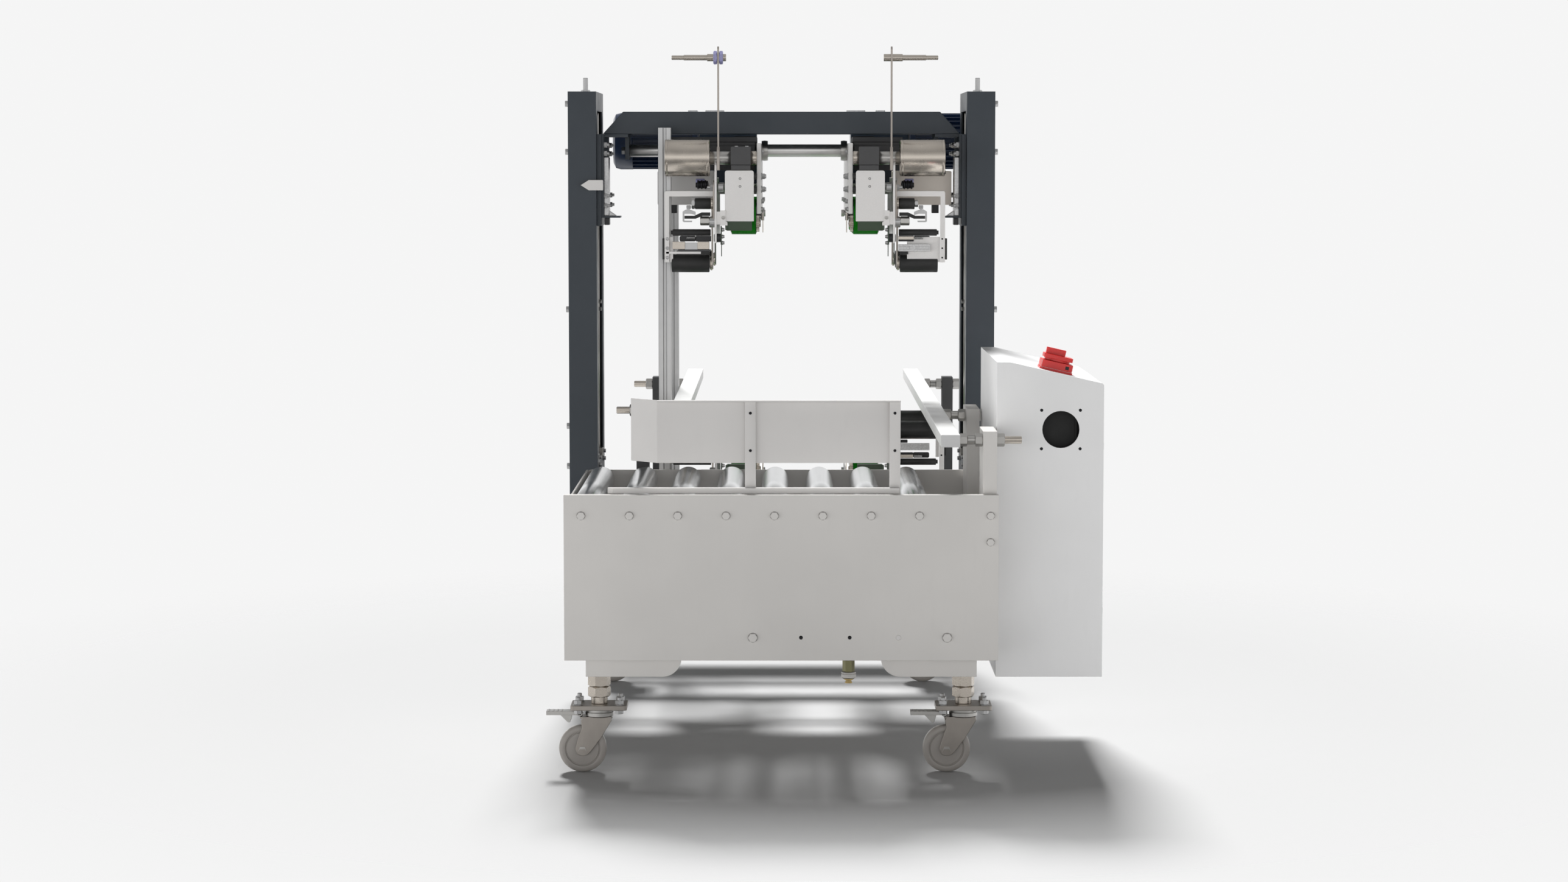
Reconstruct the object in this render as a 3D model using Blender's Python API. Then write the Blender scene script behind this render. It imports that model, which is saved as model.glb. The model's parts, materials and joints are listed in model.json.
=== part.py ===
"""Carton edge sealer: a roller table with a push-in plate, a lifting crosshead between two
columns, two upper and two lower tape heads with drive belts, side guide rails and casters.

Every size below is in millimetres in the machine's layout frame: X to the right with zero on
the table's centre plane, Y away from the front panel's face, Z up from the floor. The last
step of each part turns it into metres and puts the origin at the bottom centre of the box.
"""
import math

import bmesh
import bpy
from mathutils import Matrix, Vector

MM = 0.001

# Overall layout
COLUMN_OUT = 498.0
CABINET_RIGHT = 676.0
MACHINE_LENGTH = 2190.0
ORIGIN = Vector(((CABINET_RIGHT - COLUMN_OUT) / 2, MACHINE_LENGTH / 2, 0.0))
SIGN = {"left": -1.0, "right": 1.0}
SHEET = 4.0
FIT = 0.4

# Roller table
TABLE_HALF = 450.0
TABLE_BOTTOM = 247.0
PANEL_TOP = 592.0
SIDE_TOP = 570.0
TABLE_DEPTH = 800.0
PANEL_LIP = 20.0
PANEL_HOLES_X = (41.0, 142.0, 243.0)
PANEL_HOLE_Z = 295.0
ROLLER_COUNT = 8
ROLLER_PITCH = 100.0
FIRST_ROLLER_X = -414.0
ROLLER_Z = 549.0
ROLLER_RADIUS = 30.0
ROLLER_BORE = 27.0
ROLLER_SPAN = (24.0, 780.0)

# Pusher
PUSHER_FACE_Y = 50.0
PUSHER_Z = (654.0, 785.0)
PUSHER_X = (-258.0, 248.0)
PUSHER_WING = 57.0
PUSHER_POST_X = (-64.0, 236.0)
PUSHER_POST_WIDTH = 22.5
CYLINDER_X = 86.0

# Casters and their brackets
STEM_X = 382.0
CASTER_Y = {"front": 80.0, "rear": 1290.0}
CASTER_PLATE_Z = (135.0, 145.0)
WHEEL_RADIUS = 50.0
WHEEL_HALF_WIDTH = 13.0
WHEEL_TRAIL = 35.0
LEG_Z = (207.0, TABLE_BOTTOM - 0.3)
LEG_X = (208.0, 408.0)

# Guide rails and their adjusting rods
RAIL_Z = (690.0, 716.0)
ROD_Z = 703.0
ROD_RADIUS = 8.0
ROD_HOLE = 9.0
RAIL_X = {"left": (-255.0, -214.0), "right": (330.0, 370.0)}
RAIL_START = {"left": 845.0, "right": 8.0}
ROD_Y = {"left": (862.0, 1770.0), "right": (40.0, 715.0, 1770.0)}
ROD_END = {"left": -383.0, "right": 499.0}
POST_TOP = 722.0

# Main frame, columns and crosshead
FRAME_OUT = 431.0
FRAME_Y = (806.0, 1800.0)
FRAME_Z = (250.0, 470.0)
COLUMN_IN = 432.0
COLUMN_Y = (940.0, 1240.0)
COLUMN_Z = (250.0, 1441.0)
SLOT_Y = (990.0, 1190.0)
SLOT_Z = (570.0, 1396.0)
SCREW_X = 465.0
SHAFT_Y = 1090.0
SHAFT_Z = 1304.0
SHAFT_RADIUS = 15.0
SHAFT_END = 360.0
BEAM_Y = (1000.0, 1180.0)
BEAM_Z = (1343.0, 1395.0)
BEAM_HALF = (419.5, 372.0)
PROFILE_POST_X = (-288.0, -258.0)
PROFILE_POST_Y = (945.0, 975.0)
PROFILE_POST_TOP = 1357.0

# Tape units. Their own coordinate S runs outwards from the belt's side plate.
UNIT_X = {"left": -52.5, "right": 160.7}
MIRROR_Z = 846.5
BELT_ENDS_Y = (945.0, 1480.0)
BELT_Z = 1150.0
BELT_RADIUS = 41.0
BELT_THICK = 4.0
BELT_S = (14.0, 64.0)
HUB_Y = 890.0
HUB_Z = 1286.6
HUB_RADIUS = 42.5
HUB_S = (114.0, 217.0)
ARM_PIVOT_Z = 1165.0
ARM_PIVOT_Y = {"front": 905.0, "rear": 1235.0}
ARM_ROLLER_Z = 1041.7
ARM_ROLLER_BACK = 25.0
ARM_ROLLER_RADIUS = 21.0
ARM_ROLLER_S = (117.0, 203.0)
MOTOR_Y = 1360.0
MOTOR_Z = 1328.0
MOTOR_RADIUS = 69.0

# Control cabinet
CABINET_LEFT = 452.0
CABINET_Y = (110.0, 685.0)
CABINET_BOTTOM = 196.0
CABINET_TOP = 860.0
SLOPE_START_X = 480.0
SLOPE_END_Z = 815.0
CABINET_SHEET = 3.0
FAN_X = 586.0
FAN_Z = 719.0
FAN_RADIUS = 39.0
FAN_SCREW = 40.5
SLOPE = math.atan2(CABINET_TOP - SLOPE_END_Z, CABINET_RIGHT - SLOPE_START_X)
SWITCH_X = 578.0
SWITCH_Y = 185.0
SWITCH_BASE = 20.0

# Finish of each kind of part: colour, roughness, metallic
FINISHES = {
    "grey_paint": ((0.50, 0.49, 0.47), 0.45, 0.0),
    "white_paint": ((0.80, 0.80, 0.80), 0.40, 0.0),
    "blue_paint": ((0.055, 0.067, 0.079), 0.45, 0.0),
    "chrome": ((0.78, 0.78, 0.78), 0.18, 1.0),
    "nickel": ((0.42, 0.38, 0.34), 0.35, 1.0),
    "aluminium": ((0.62, 0.62, 0.62), 0.38, 1.0),
    "green_belt": ((0.0, 0.16, 0.01), 0.7, 0.0),
    "black_rubber": ((0.02, 0.02, 0.02), 0.55, 0.0),
    "motor_paint": ((0.01, 0.025, 0.08), 0.4, 0.0),
    "red_plastic": ((0.74, 0.03, 0.03), 0.35, 0.0),
    "brass": ((0.30, 0.29, 0.14), 0.35, 1.0),
}


def clear_scene():
    for item in list(bpy.data.objects):
        bpy.data.objects.remove(item, do_unlink=True)


def to_space(axis, u, v, along):
    """Place a point of a profile drawn across an axis."""
    if axis == "x":
        return (along, u, v)
    if axis == "y":
        return (u, along, v)
    return (u, v, along)


def prism(axis, outline, start, end):
    """Solid with one outline along an axis. The outline is (Y,Z), (X,Z) or (X,Y)."""
    shape = bmesh.new()
    low, high = min(start, end), max(start, end)
    bottom = [shape.verts.new(to_space(axis, u, v, low)) for u, v in outline]
    top = [shape.verts.new(to_space(axis, u, v, high)) for u, v in outline]
    shape.faces.new(bottom)
    shape.faces.new(top)
    for i in range(len(outline)):
        j = (i + 1) % len(outline)
        shape.faces.new((bottom[i], bottom[j], top[j], top[i]))
    bmesh.ops.recalc_face_normals(shape, faces=shape.faces)
    return shape


def ring_prism(axis, outer, inner, start, end):
    """Tube between two outlines with the same number of points."""
    shape = bmesh.new()
    count = len(outer)
    rims = []
    for along in (min(start, end), max(start, end)):
        for outline in (outer, inner):
            rims.append([shape.verts.new(to_space(axis, u, v, along)) for u, v in outline])
    low_out, low_in, high_out, high_in = rims
    for i in range(count):
        j = (i + 1) % count
        for first, second in ((low_out, high_out), (high_in, low_in), (low_in, low_out),
                              (high_out, high_in)):
            shape.faces.new((first[i], first[j], second[j], second[i]))
    bmesh.ops.recalc_face_normals(shape, faces=shape.faces)
    return shape


def box(x, y, z):
    """Block from three (low, high) pairs."""
    corners = ((x[0], y[0]), (x[1], y[0]), (x[1], y[1]), (x[0], y[1]))
    return prism("z", corners, z[0], z[1])


def circle(u, v, radius, sides=20, flat=True):
    """Regular outline. A flat one has a side, not a corner, at its lowest point."""
    turn = math.pi / sides if flat else 0.0
    reach = radius / math.cos(math.pi / sides) if flat else radius
    points = []
    for i in range(sides):
        angle = 2 * math.pi * i / sides - math.pi / 2 + turn
        points.append((u + reach * math.cos(angle), v + reach * math.sin(angle)))
    return points


def rod(axis, u, v, radius, start, end, sides=20):
    return prism(axis, circle(u, v, radius, sides, flat=False), start, end)


def pill(u0, v0, u1, v1, radius, steps=6):
    """Outline round two equal circles."""
    heading = math.atan2(v1 - v0, u1 - u0)
    points = []
    for centre_u, centre_v, turn in ((u1, v1, -math.pi / 2), (u0, v0, math.pi / 2)):
        for i in range(steps + 1):
            angle = heading + turn + math.pi * i / steps
            points.append((centre_u + radius * math.cos(angle),
                           centre_v + radius * math.sin(angle)))
    return points


def mesh_from(shape, name):
    mesh = bpy.data.meshes.new(name)
    shape.to_mesh(mesh)
    shape.free()
    return mesh


def scratch(shape, name):
    item = bpy.data.objects.new(name, mesh_from(shape, name))
    bpy.context.collection.objects.link(item)
    return item


def finish_material(name, finish):
    colour, roughness, metallic = FINISHES[finish]
    surface = bpy.data.materials.new(name)
    surface.use_nodes = True
    shader = surface.node_tree.nodes["Principled BSDF"]
    shader.inputs["Base Color"].default_value = (*colour, 1.0)
    shader.inputs["Roughness"].default_value = roughness
    shader.inputs["Metallic"].default_value = metallic
    return surface


def part(name, finish, add, cut=(), pivot=(0.0, 0.0, 0.0)):
    """One named solid: the union of the add shapes less the cut shapes, in metres."""
    body = scratch(add[0], name)
    tools = []
    for operation, shapes in (("UNION", add[1:]), ("DIFFERENCE", cut)):
        for shape in shapes:
            tool = scratch(shape, name + "_tool")
            tools.append(tool)
            modifier = body.modifiers.new(operation.lower(), "BOOLEAN")
            modifier.operation = operation
            modifier.solver = "EXACT"
            modifier.object = tool
    solved = body.evaluated_get(bpy.context.evaluated_depsgraph_get())
    mesh = bpy.data.meshes.new_from_object(solved)
    for tool in tools + [body]:
        bpy.data.objects.remove(tool, do_unlink=True)
    mesh.name = name
    centre = Vector(pivot)
    mesh.transform(Matrix.Diagonal((MM, MM, MM, 1.0)) @ Matrix.Translation(-centre))
    mesh.materials.clear()
    mesh.materials.append(finish_material(name, finish))
    mesh.shade_smooth()
    mesh.set_sharp_from_angle(angle=math.radians(32))
    item = bpy.data.objects.new(name, mesh)
    item.location = (centre - ORIGIN) * MM if any(pivot) else -ORIGIN * MM
    bpy.context.collection.objects.link(item)
    return item


# ---------------------------------------------------------------- roller table

def front_panel():
    shell = box((-TABLE_HALF, TABLE_HALF), (0, PANEL_LIP), (TABLE_BOTTOM, PANEL_TOP))
    hollow = box((SHEET - TABLE_HALF, TABLE_HALF - SHEET), (SHEET, PANEL_LIP + 1),
                 (TABLE_BOTTOM + SHEET, PANEL_TOP - SHEET))
    holes = [rod("y", x, PANEL_HOLE_Z, 4.0, -1, SHEET + 1, 12) for x in PANEL_HOLES_X]
    part("front_panel", "grey_paint", [shell], [hollow] + holes)


def table_sides():
    side_y = (PANEL_LIP + FIT, TABLE_DEPTH - FIT)
    left = box((-TABLE_HALF, SHEET - TABLE_HALF), side_y, (TABLE_BOTTOM, SIDE_TOP))
    part("left_table_side", "grey_paint", [left])

    right = box((TABLE_HALF - SHEET, TABLE_HALF), side_y, (TABLE_BOTTOM, SIDE_TOP))
    posts, cuts = [], []
    for first, last, rod_y in ((side_y[0], 150.0, ROD_Y["right"][0]),
                               (640.0, 790.0, ROD_Y["right"][1])):
        posts.append(box((418.0, TABLE_HALF - SHEET + 1), (first, last), (470.0, POST_TOP)))
        cuts.append(box((421.0, 443.0), (first + 3, last - 3), (469.0, POST_TOP - 3)))
        cuts.append(rod("x", rod_y, ROD_Z, ROD_HOLE, 417.0, 448.0, 16))
    part("right_table_side", "grey_paint", [right] + posts, cuts)


def rear_table_panel():
    round_corner = 12.0
    outline = [(-TABLE_HALF, TABLE_BOTTOM), (TABLE_HALF, TABLE_BOTTOM)]
    for side, start in ((1.0, 0.0), (-1.0, math.pi / 2)):
        for i in range(5):
            angle = start + math.pi / 2 * i / 4
            outline.append((side * (TABLE_HALF - round_corner) + round_corner * math.cos(angle),
                            SIDE_TOP - round_corner + round_corner * math.sin(angle)))
    part("rear_table_panel", "grey_paint",
         [prism("y", outline, TABLE_DEPTH, TABLE_DEPTH + SHEET)])


def table_rollers():
    for index in range(ROLLER_COUNT):
        x = FIRST_ROLLER_X + index * ROLLER_PITCH
        tube = ring_prism("y", circle(x, ROLLER_Z, ROLLER_RADIUS),
                          circle(x, ROLLER_Z, ROLLER_BORE), *ROLLER_SPAN)
        part(f"roller_{index + 1}", "chrome", [tube], pivot=(x, ROLLER_SPAN[0], ROLLER_Z))


def pusher():
    """Push-in plate, and the carriage that carries it between and under the rollers."""
    x0, x1 = PUSHER_X
    back = PUSHER_FACE_Y + 3.0
    wing = PUSHER_WING
    plan = [(x1, PUSHER_FACE_Y), (x1, back), (x0 + 1.2, back), (x0 - wing + 1.2, back + wing),
            (x0 - wing, back + wing - 2.0), (x0, PUSHER_FACE_Y)]
    plate = prism("z", plan, *PUSHER_Z)
    lip = box((x0, x1), (PUSHER_FACE_Y - 14, back), (PUSHER_Z[1] - 3, PUSHER_Z[1]))
    pivot = (CYLINDER_X, PUSHER_FACE_Y, PUSHER_Z[0])
    part("pusher_plate", "grey_paint", [plate, lip], pivot=pivot)

    posts = []
    post_y = (PUSHER_FACE_Y - 8.4, PUSHER_FACE_Y - FIT)
    for x in PUSHER_POST_X:
        half = PUSHER_POST_WIDTH / 2
        posts.append(box((x - half, x + half), post_y, (455.0, PUSHER_Z[1] - 3 - FIT)))
    strip = prism("z", [(-360, 31), (-349, 24), (245, 24), (245, post_y[0] + 1), (-360, 42.6)],
                  592.4, 604.0)
    under = box((-76.0, 248.0), (30.0, 110.0), (455.0, 465.0))
    slider = box((CYLINDER_X - 26, CYLINDER_X + 26), (30.0, 110.0), (425.0, 456.0))
    part("pusher_carriage", "grey_paint", [under, slider, strip] + posts, pivot=pivot)

    barrel = box((CYLINDER_X - 20, CYLINDER_X + 20), (6.0, TABLE_DEPTH - 2), (384.0, 424.0))
    part("pusher_cylinder", "aluminium", [barrel])


# ---------------------------------------------------------------- casters

def stem_shapes(x, y, top):
    """Threaded stem, its two stacked nuts and the square caster plate."""
    return [rod("z", x, y, 10.0, CASTER_PLATE_Z[1] - 1, top, 16),
            prism("z", circle(x, y, 21.0, 6), 158.0, 206.5),
            box((x - 59, x + 59), (y - 40, y + 40), CASTER_PLATE_Z)]


def leg_brackets():
    corner = 40.0
    for side, sign in SIGN.items():
        def outline(inset):
            points = [(sign * (LEG_X[1] - inset), LEG_Z[1] - inset),
                      (sign * (LEG_X[1] - inset), LEG_Z[0] + inset)]
            for i in range(7):
                angle = -math.pi / 2 - math.pi / 2 * i / 6
                points.append((sign * (LEG_X[0] + corner + (corner - inset) * math.cos(angle)),
                               LEG_Z[1] + (corner - inset) * math.sin(angle)))
            points[-1] = (points[-1][0], LEG_Z[1] - inset)
            return points
        tray = prism("y", outline(0.0), 40.0, 120.0)
        hollow = prism("y", outline(SHEET), 40.0 + SHEET, 121.0)
        stem, nuts, plate = stem_shapes(sign * STEM_X, CASTER_Y["front"], LEG_Z[0] + 2)
        part(f"{side}_leg_bracket", "grey_paint", [tray, stem, nuts, plate], [hollow])


def caster(side, place):
    x = SIGN[side] * STEM_X
    y = CASTER_Y[place]
    hub_x = x - WHEEL_TRAIL
    cheek = [(24, 133), (26, 116), (-22, 44), (-35, 37), (-48, 44), (-30, 108), (-50, 112),
             (-50, 133)]
    cheek = [(x + dx, z) for dx, z in cheek]
    shapes = [rod("z", x, y, 30.0, 117.5, CASTER_PLATE_Z[0] - 0.5)]
    for low in (-18.5, 15.5):
        shapes.append(prism("y", cheek, y + low, y + low + 3))
    shapes.append(rod("y", hub_x, WHEEL_RADIUS, 6.0, y - 18, y + 18, 12))
    part(f"{side}_{place}_fork", "nickel", shapes, pivot=(x, y, CASTER_PLATE_Z[0]))

    wheel = ring_prism("y", circle(hub_x, WHEEL_RADIUS, WHEEL_RADIUS, 28),
                       circle(hub_x, WHEEL_RADIUS, 6.8, 28),
                       y - WHEEL_HALF_WIDTH, y + WHEEL_HALF_WIDTH)
    part(f"{side}_{place}_wheel", "nickel", [wheel], pivot=(hub_x, y, WHEEL_RADIUS))

    if place == "front":
        pin_x, pin_z = x - 40.0, 125.0
        tread = box((x - 111, x - 38), (y - 14.5, y + 14.5), (121.0, 129.0))
        tip = box((x - 111, x - 103), (y - 14.5, y + 14.5), (121.0, 134.0))
        boss = rod("y", pin_x, pin_z, 7.0, y - 14.5, y + 14.5, 16)
        pin = rod("y", pin_x, pin_z, 3.0, y - 15.2, y + 15.2, 12)
        part(f"{side}_brake_pedal", "nickel", [tread, tip, boss, pin], pivot=(pin_x, y, pin_z))


# ---------------------------------------------------------------- main frame and columns

def main_frame():
    """Rear bed: two side plates, end panels, cross members, rail posts and the lower shaft."""
    y0, y1 = FRAME_Y
    shapes = []
    for sign in SIGN.values():
        inner, outer = sorted((sign * (FRAME_OUT - SHEET), sign * FRAME_OUT))
        shapes.append(box((inner, outer), FRAME_Y, FRAME_Z))
    for first in (y0, y1 - SHEET):
        shapes.append(box((-FRAME_OUT + 1, FRAME_OUT - 1), (first, first + SHEET), FRAME_Z))
    caster_y = CASTER_Y["rear"]
    for middle, half in ((960.0, 20.0), (caster_y, 50.0), (1500.0, 20.0)):
        shapes.append(box((-FRAME_OUT + 1, FRAME_OUT - 1), (middle - half, middle + half),
                          (FRAME_Z[0], FRAME_Z[0] + 6)))
    for post_x, post_y in (((-335, -307), (y0 + 2, 880)), ((-335, -307), (1750, y1 - 2)),
                           ((415, 443), (1750, y1 - 2))):
        shapes.append(box(post_x, post_y, (400.0, POST_TOP)))
    shapes.append(rod("x", SHAFT_Y, 2 * MIRROR_Z - SHAFT_Z, SHAFT_RADIUS,
                      -FRAME_OUT + 2, FRAME_OUT - 2))
    for sign in SIGN.values():
        shapes.append(box((sign * STEM_X - 30, sign * STEM_X + 30),
                          (caster_y - 30, caster_y + 30), (LEG_Z[0], FRAME_Z[0] + 1)))
        shapes += stem_shapes(sign * STEM_X, caster_y, LEG_Z[0] + 2)
    cuts = [rod("x", y, ROD_Z, ROD_HOLE, -336, -306, 16) for y in ROD_Y["left"]]
    cuts.append(rod("x", ROD_Y["right"][2], ROD_Z, ROD_HOLE, 414, 444, 16))
    part("main_frame", "blue_paint", shapes, cuts)


def across(side, inner, outer):
    """X range of something that lies between two distances from the centre plane."""
    return tuple(sorted((SIGN[side] * inner, SIGN[side] * outer)))


def columns():
    for side in SIGN:
        shell = box(across(side, COLUMN_IN, COLUMN_OUT), COLUMN_Y, COLUMN_Z)
        cavity = box(across(side, COLUMN_IN + SHEET, COLUMN_OUT - SHEET),
                     (COLUMN_Y[0] + SHEET, COLUMN_Y[1] - SHEET),
                     (COLUMN_Z[0] + SHEET, COLUMN_Z[1] - SHEET))
        slot = box(across(side, COLUMN_IN - 1, COLUMN_IN + SHEET + 1), SLOT_Y, SLOT_Z)
        hole = rod("z", SIGN[side] * SCREW_X, SHAFT_Y, 7.0, COLUMN_Z[1] - 9, COLUMN_Z[1] + 1, 16)
        part(f"{side}_column", "blue_paint", [shell], [cavity, slot, hole])


def carriages():
    for side in SIGN:
        plate = box(across(side, 421.6, 431.4), (955.0, 1225.0), (1128.5, 1342.0))
        bracket = box(across(side, 415.9, 422.0), (965.0, 1215.0), (1147.0, 1342.6))
        shelf = box(across(side, 378.0, 416.5), (968.0, 1030.0), (1147.0, 1151.0))
        seat = box(across(side, SHAFT_END + FIT, 421.0), BEAM_Y, (BEAM_Z[0] - 7.0, BEAM_Z[0] - FIT))
        hanger = box(across(side, SHAFT_END + FIT, SHAFT_END + 10.0), (1055.0, 1125.0),
                     (SHAFT_Z - 21.0, BEAM_Z[0] - 1.0))
        nut_block = box(across(side, 431.0, 485.0), (1060.0, 1120.0), (1180.0, 1290.0))
        bore = rod("z", SIGN[side] * SCREW_X, SHAFT_Y, 9.5, 1179.0, 1291.0, 16)
        part(f"{side}_carriage", "blue_paint",
             [plate, bracket, shelf, seat, hanger, nut_block], [bore],
             pivot=(SIGN[side] * COLUMN_IN, SHAFT_Y, SHAFT_Z))


def crosshead():
    def trapezoid(inset):
        low, high = BEAM_HALF[0] - inset, BEAM_HALF[1] - inset
        bottom = BEAM_Z[0] - (1.0 if inset else 0.0)
        top = BEAM_Z[1] - inset
        return [(-low, bottom), (low, bottom), (high, top), (-high, top)]
    cover = prism("y", trapezoid(0.0), *BEAM_Y)
    hollow = prism("y", trapezoid(SHEET), BEAM_Y[0] + SHEET, BEAM_Y[1] - SHEET)
    part("crossbeam", "blue_paint", [cover], [hollow], pivot=(0.0, SHAFT_Y, SHAFT_Z))
    part("cross_shaft", "chrome",
         [rod("x", SHAFT_Y, SHAFT_Z, SHAFT_RADIUS, -SHAFT_END, SHAFT_END)],
         pivot=(0.0, SHAFT_Y, SHAFT_Z))


def guide_rails():
    for side in SIGN:
        x0, x1 = RAIL_X[side]
        bar = box((x0, x1), (RAIL_START[side], MACHINE_LENGTH), RAIL_Z)
        root = x1 - 2 if side == "right" else x0 + 2
        rods = [rod("x", y, ROD_Z, ROD_RADIUS, root, ROD_END[side], 12) for y in ROD_Y[side]]
        inside = box((x0 + SHEET, x1 - SHEET), (RAIL_START[side] + SHEET, MACHINE_LENGTH + 1),
                     (RAIL_Z[0] + SHEET, RAIL_Z[1] - SHEET))
        part(f"{side}_guide_rail", "white_paint", [bar] + rods, [inside],
             pivot=(x0, RAIL_START[side], ROD_Z))


def profile_post():
    part("aluminium_post", "aluminium",
         [box(PROFILE_POST_X, PROFILE_POST_Y, (FRAME_Z[0] + 6.4, PROFILE_POST_TOP))])


# ---------------------------------------------------------------- tape units

class Unit:
    """One of the four tape units, drawn in S (outwards), Y and the upper unit's Z."""

    def __init__(self, level, side):
        self.level = level
        self.side = side
        self.name = f"{level}_{side}"

    def x(self, s):
        return UNIT_X[self.side] + SIGN[self.side] * s

    def z(self, z):
        return z if self.level == "upper" else 2 * MIRROR_Z - z

    def block(self, s, y, z):
        return box(tuple(sorted(map(self.x, s))), y, tuple(sorted(map(self.z, z))))

    def plate(self, outline, s):
        return prism("x", [(y, self.z(z)) for y, z in outline], self.x(s[0]), self.x(s[1]))

    def round(self, y, z, radius, s, sides=20):
        return rod("x", y, self.z(z), radius, self.x(s[0]), self.x(s[1]), sides)

    def pivot(self, y, z):
        return (self.x(0.0), y, self.z(z))


def unit_frame(unit):
    """Side plate, pulleys and slider bed, hub spindle, tape head plate and its brackets."""
    first, last = BELT_ENDS_Y
    shapes = [
        unit.block((-5, 5), (905, 1520), (1157, 1321)),
        unit.block((4, 10), (985, 1440), (1122, 1178)),
        unit.block((9, 60), (987, 1438), (1124, 1130)),
        unit.block((9, 60), (987, 1438), (1170, 1176)),
        unit.block((4, 60), (1055, 1125), (1268, 1338)),
        unit.block((4, 66), (865, 915), (1250, 1313)),
        unit.block((12.5, 80), (872, 901.5), (1117, 1258)),
        unit.round(HUB_Y, HUB_Z, 15.6, (65, 112)),
        unit.round(HUB_Y, HUB_Z, 12.0, (111, 216)),
        unit.plate([(862, 1090), (1290, 1090), (1290, 1225), (920, 1225), (920, 1321),
                    (862, 1321)], (97, 103)),
        unit.block((4, 98), (1200, 1230), (1200, 1225)),
        unit.block((102, 225), (905, 940), (1197, 1209.4)),
        unit.block((219, 225), (905, 940), (1044, 1209)),
        unit.block((102, 240), (1020, 1180), (1176, 1256)),
    ]
    for y in (first, last):
        shapes.append(unit.round(y, BELT_Z, 36.0, (4, 62)))
    if unit.level == "upper":
        shapes.append(unit.block((91.5, 97.2), (878, 902), (1290, 1543)))
        shapes.append(unit.round(HUB_Y, 1517.5, 5.0, (75.5, 202), 12))
        shapes.append(unit.round(HUB_Y, 1517.5, 8.0, (95, 112), 16))
    else:
        shapes.append(unit.round(HUB_Y, HUB_Z, HUB_RADIUS, HUB_S))
    cuts = [
        unit.round(SHAFT_Y, SHAFT_Z, 15.8, (-6, 61)),
        unit.block((14.5, 78), (874, 902), (1119, 1249.5)),
        unit.block((105, 237), (1023, 1181), (1179, 1253)),
    ]
    part(f"{unit.name}_frame", "white_paint", shapes, cuts, pivot=unit.pivot(SHAFT_Y, SHAFT_Z))


def unit_belt(unit):
    centre = unit.z(BELT_Z)
    outlines = [pill(BELT_ENDS_Y[0], centre, BELT_ENDS_Y[1], centre, radius, 8)
                for radius in (BELT_RADIUS, BELT_RADIUS - BELT_THICK)]
    loop = ring_prism("x", *outlines, unit.x(BELT_S[0]), unit.x(BELT_S[1]))
    part(f"{unit.name}_belt", "green_belt", [loop], pivot=unit.pivot(*BELT_ENDS_Y[:1], BELT_Z))


def unit_hub(unit):
    centre = (HUB_Y, unit.z(HUB_Z))
    hub = ring_prism("x", circle(*centre, HUB_RADIUS, 24), circle(*centre, 13.0, 24),
                     unit.x(HUB_S[0]), unit.x(HUB_S[1]))
    part(f"{unit.name}_hub", "nickel", [hub], pivot=unit.pivot(HUB_Y, HUB_Z))


def unit_arm(unit, place):
    """Swinging arm with its wipe-down roller."""
    pivot_y = ARM_PIVOT_Y[place]
    roller_y = pivot_y + ARM_ROLLER_BACK
    link = pill(pivot_y, ARM_PIVOT_Z, roller_y, ARM_ROLLER_Z, 12.0)
    shapes = [
        unit.plate(link, (104.5, 110.5)),
        unit.round(roller_y, ARM_ROLLER_Z, 8.0, (110, 118), 16),
        unit.round(roller_y, ARM_ROLLER_Z, ARM_ROLLER_RADIUS, ARM_ROLLER_S),
    ]
    part(f"{unit.name}_{place}_arm", "black_rubber", shapes,
         pivot=unit.pivot(pivot_y, ARM_PIVOT_Z))


def unit_motor(unit):
    gearbox = unit.block((5.6, 150), (1300, 1420), (1200, 1390))
    barrel = unit.round(MOTOR_Y, MOTOR_Z, MOTOR_RADIUS, (149, 360), 24)
    cowl = unit.round(MOTOR_Y, MOTOR_Z, MOTOR_RADIUS - SHEET, (290, 361), 24)
    part(f"{unit.side}_motor", "motor_paint", [gearbox, barrel], [cowl],
         pivot=unit.pivot(MOTOR_Y, MOTOR_Z))


def tape_units():
    for level in ("upper", "lower"):
        for side in SIGN:
            unit = Unit(level, side)
            unit_frame(unit)
            unit_belt(unit)
            for place in ARM_PIVOT_Y:
                unit_arm(unit, place)
            if level == "upper":
                unit_hub(unit)
                unit_motor(unit)


# ---------------------------------------------------------------- cabinet, switch and inlet

def slope_z(x):
    return CABINET_TOP - (x - SLOPE_START_X) * math.tan(SLOPE)


def slope_point(along, out):
    """Point beside the switch: distance down the slope, distance out of it."""
    x = SWITCH_X + along * math.cos(SLOPE) + out * math.sin(SLOPE)
    z = slope_z(SWITCH_X) - along * math.sin(SLOPE) + out * math.cos(SLOPE)
    return x, z


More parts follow.
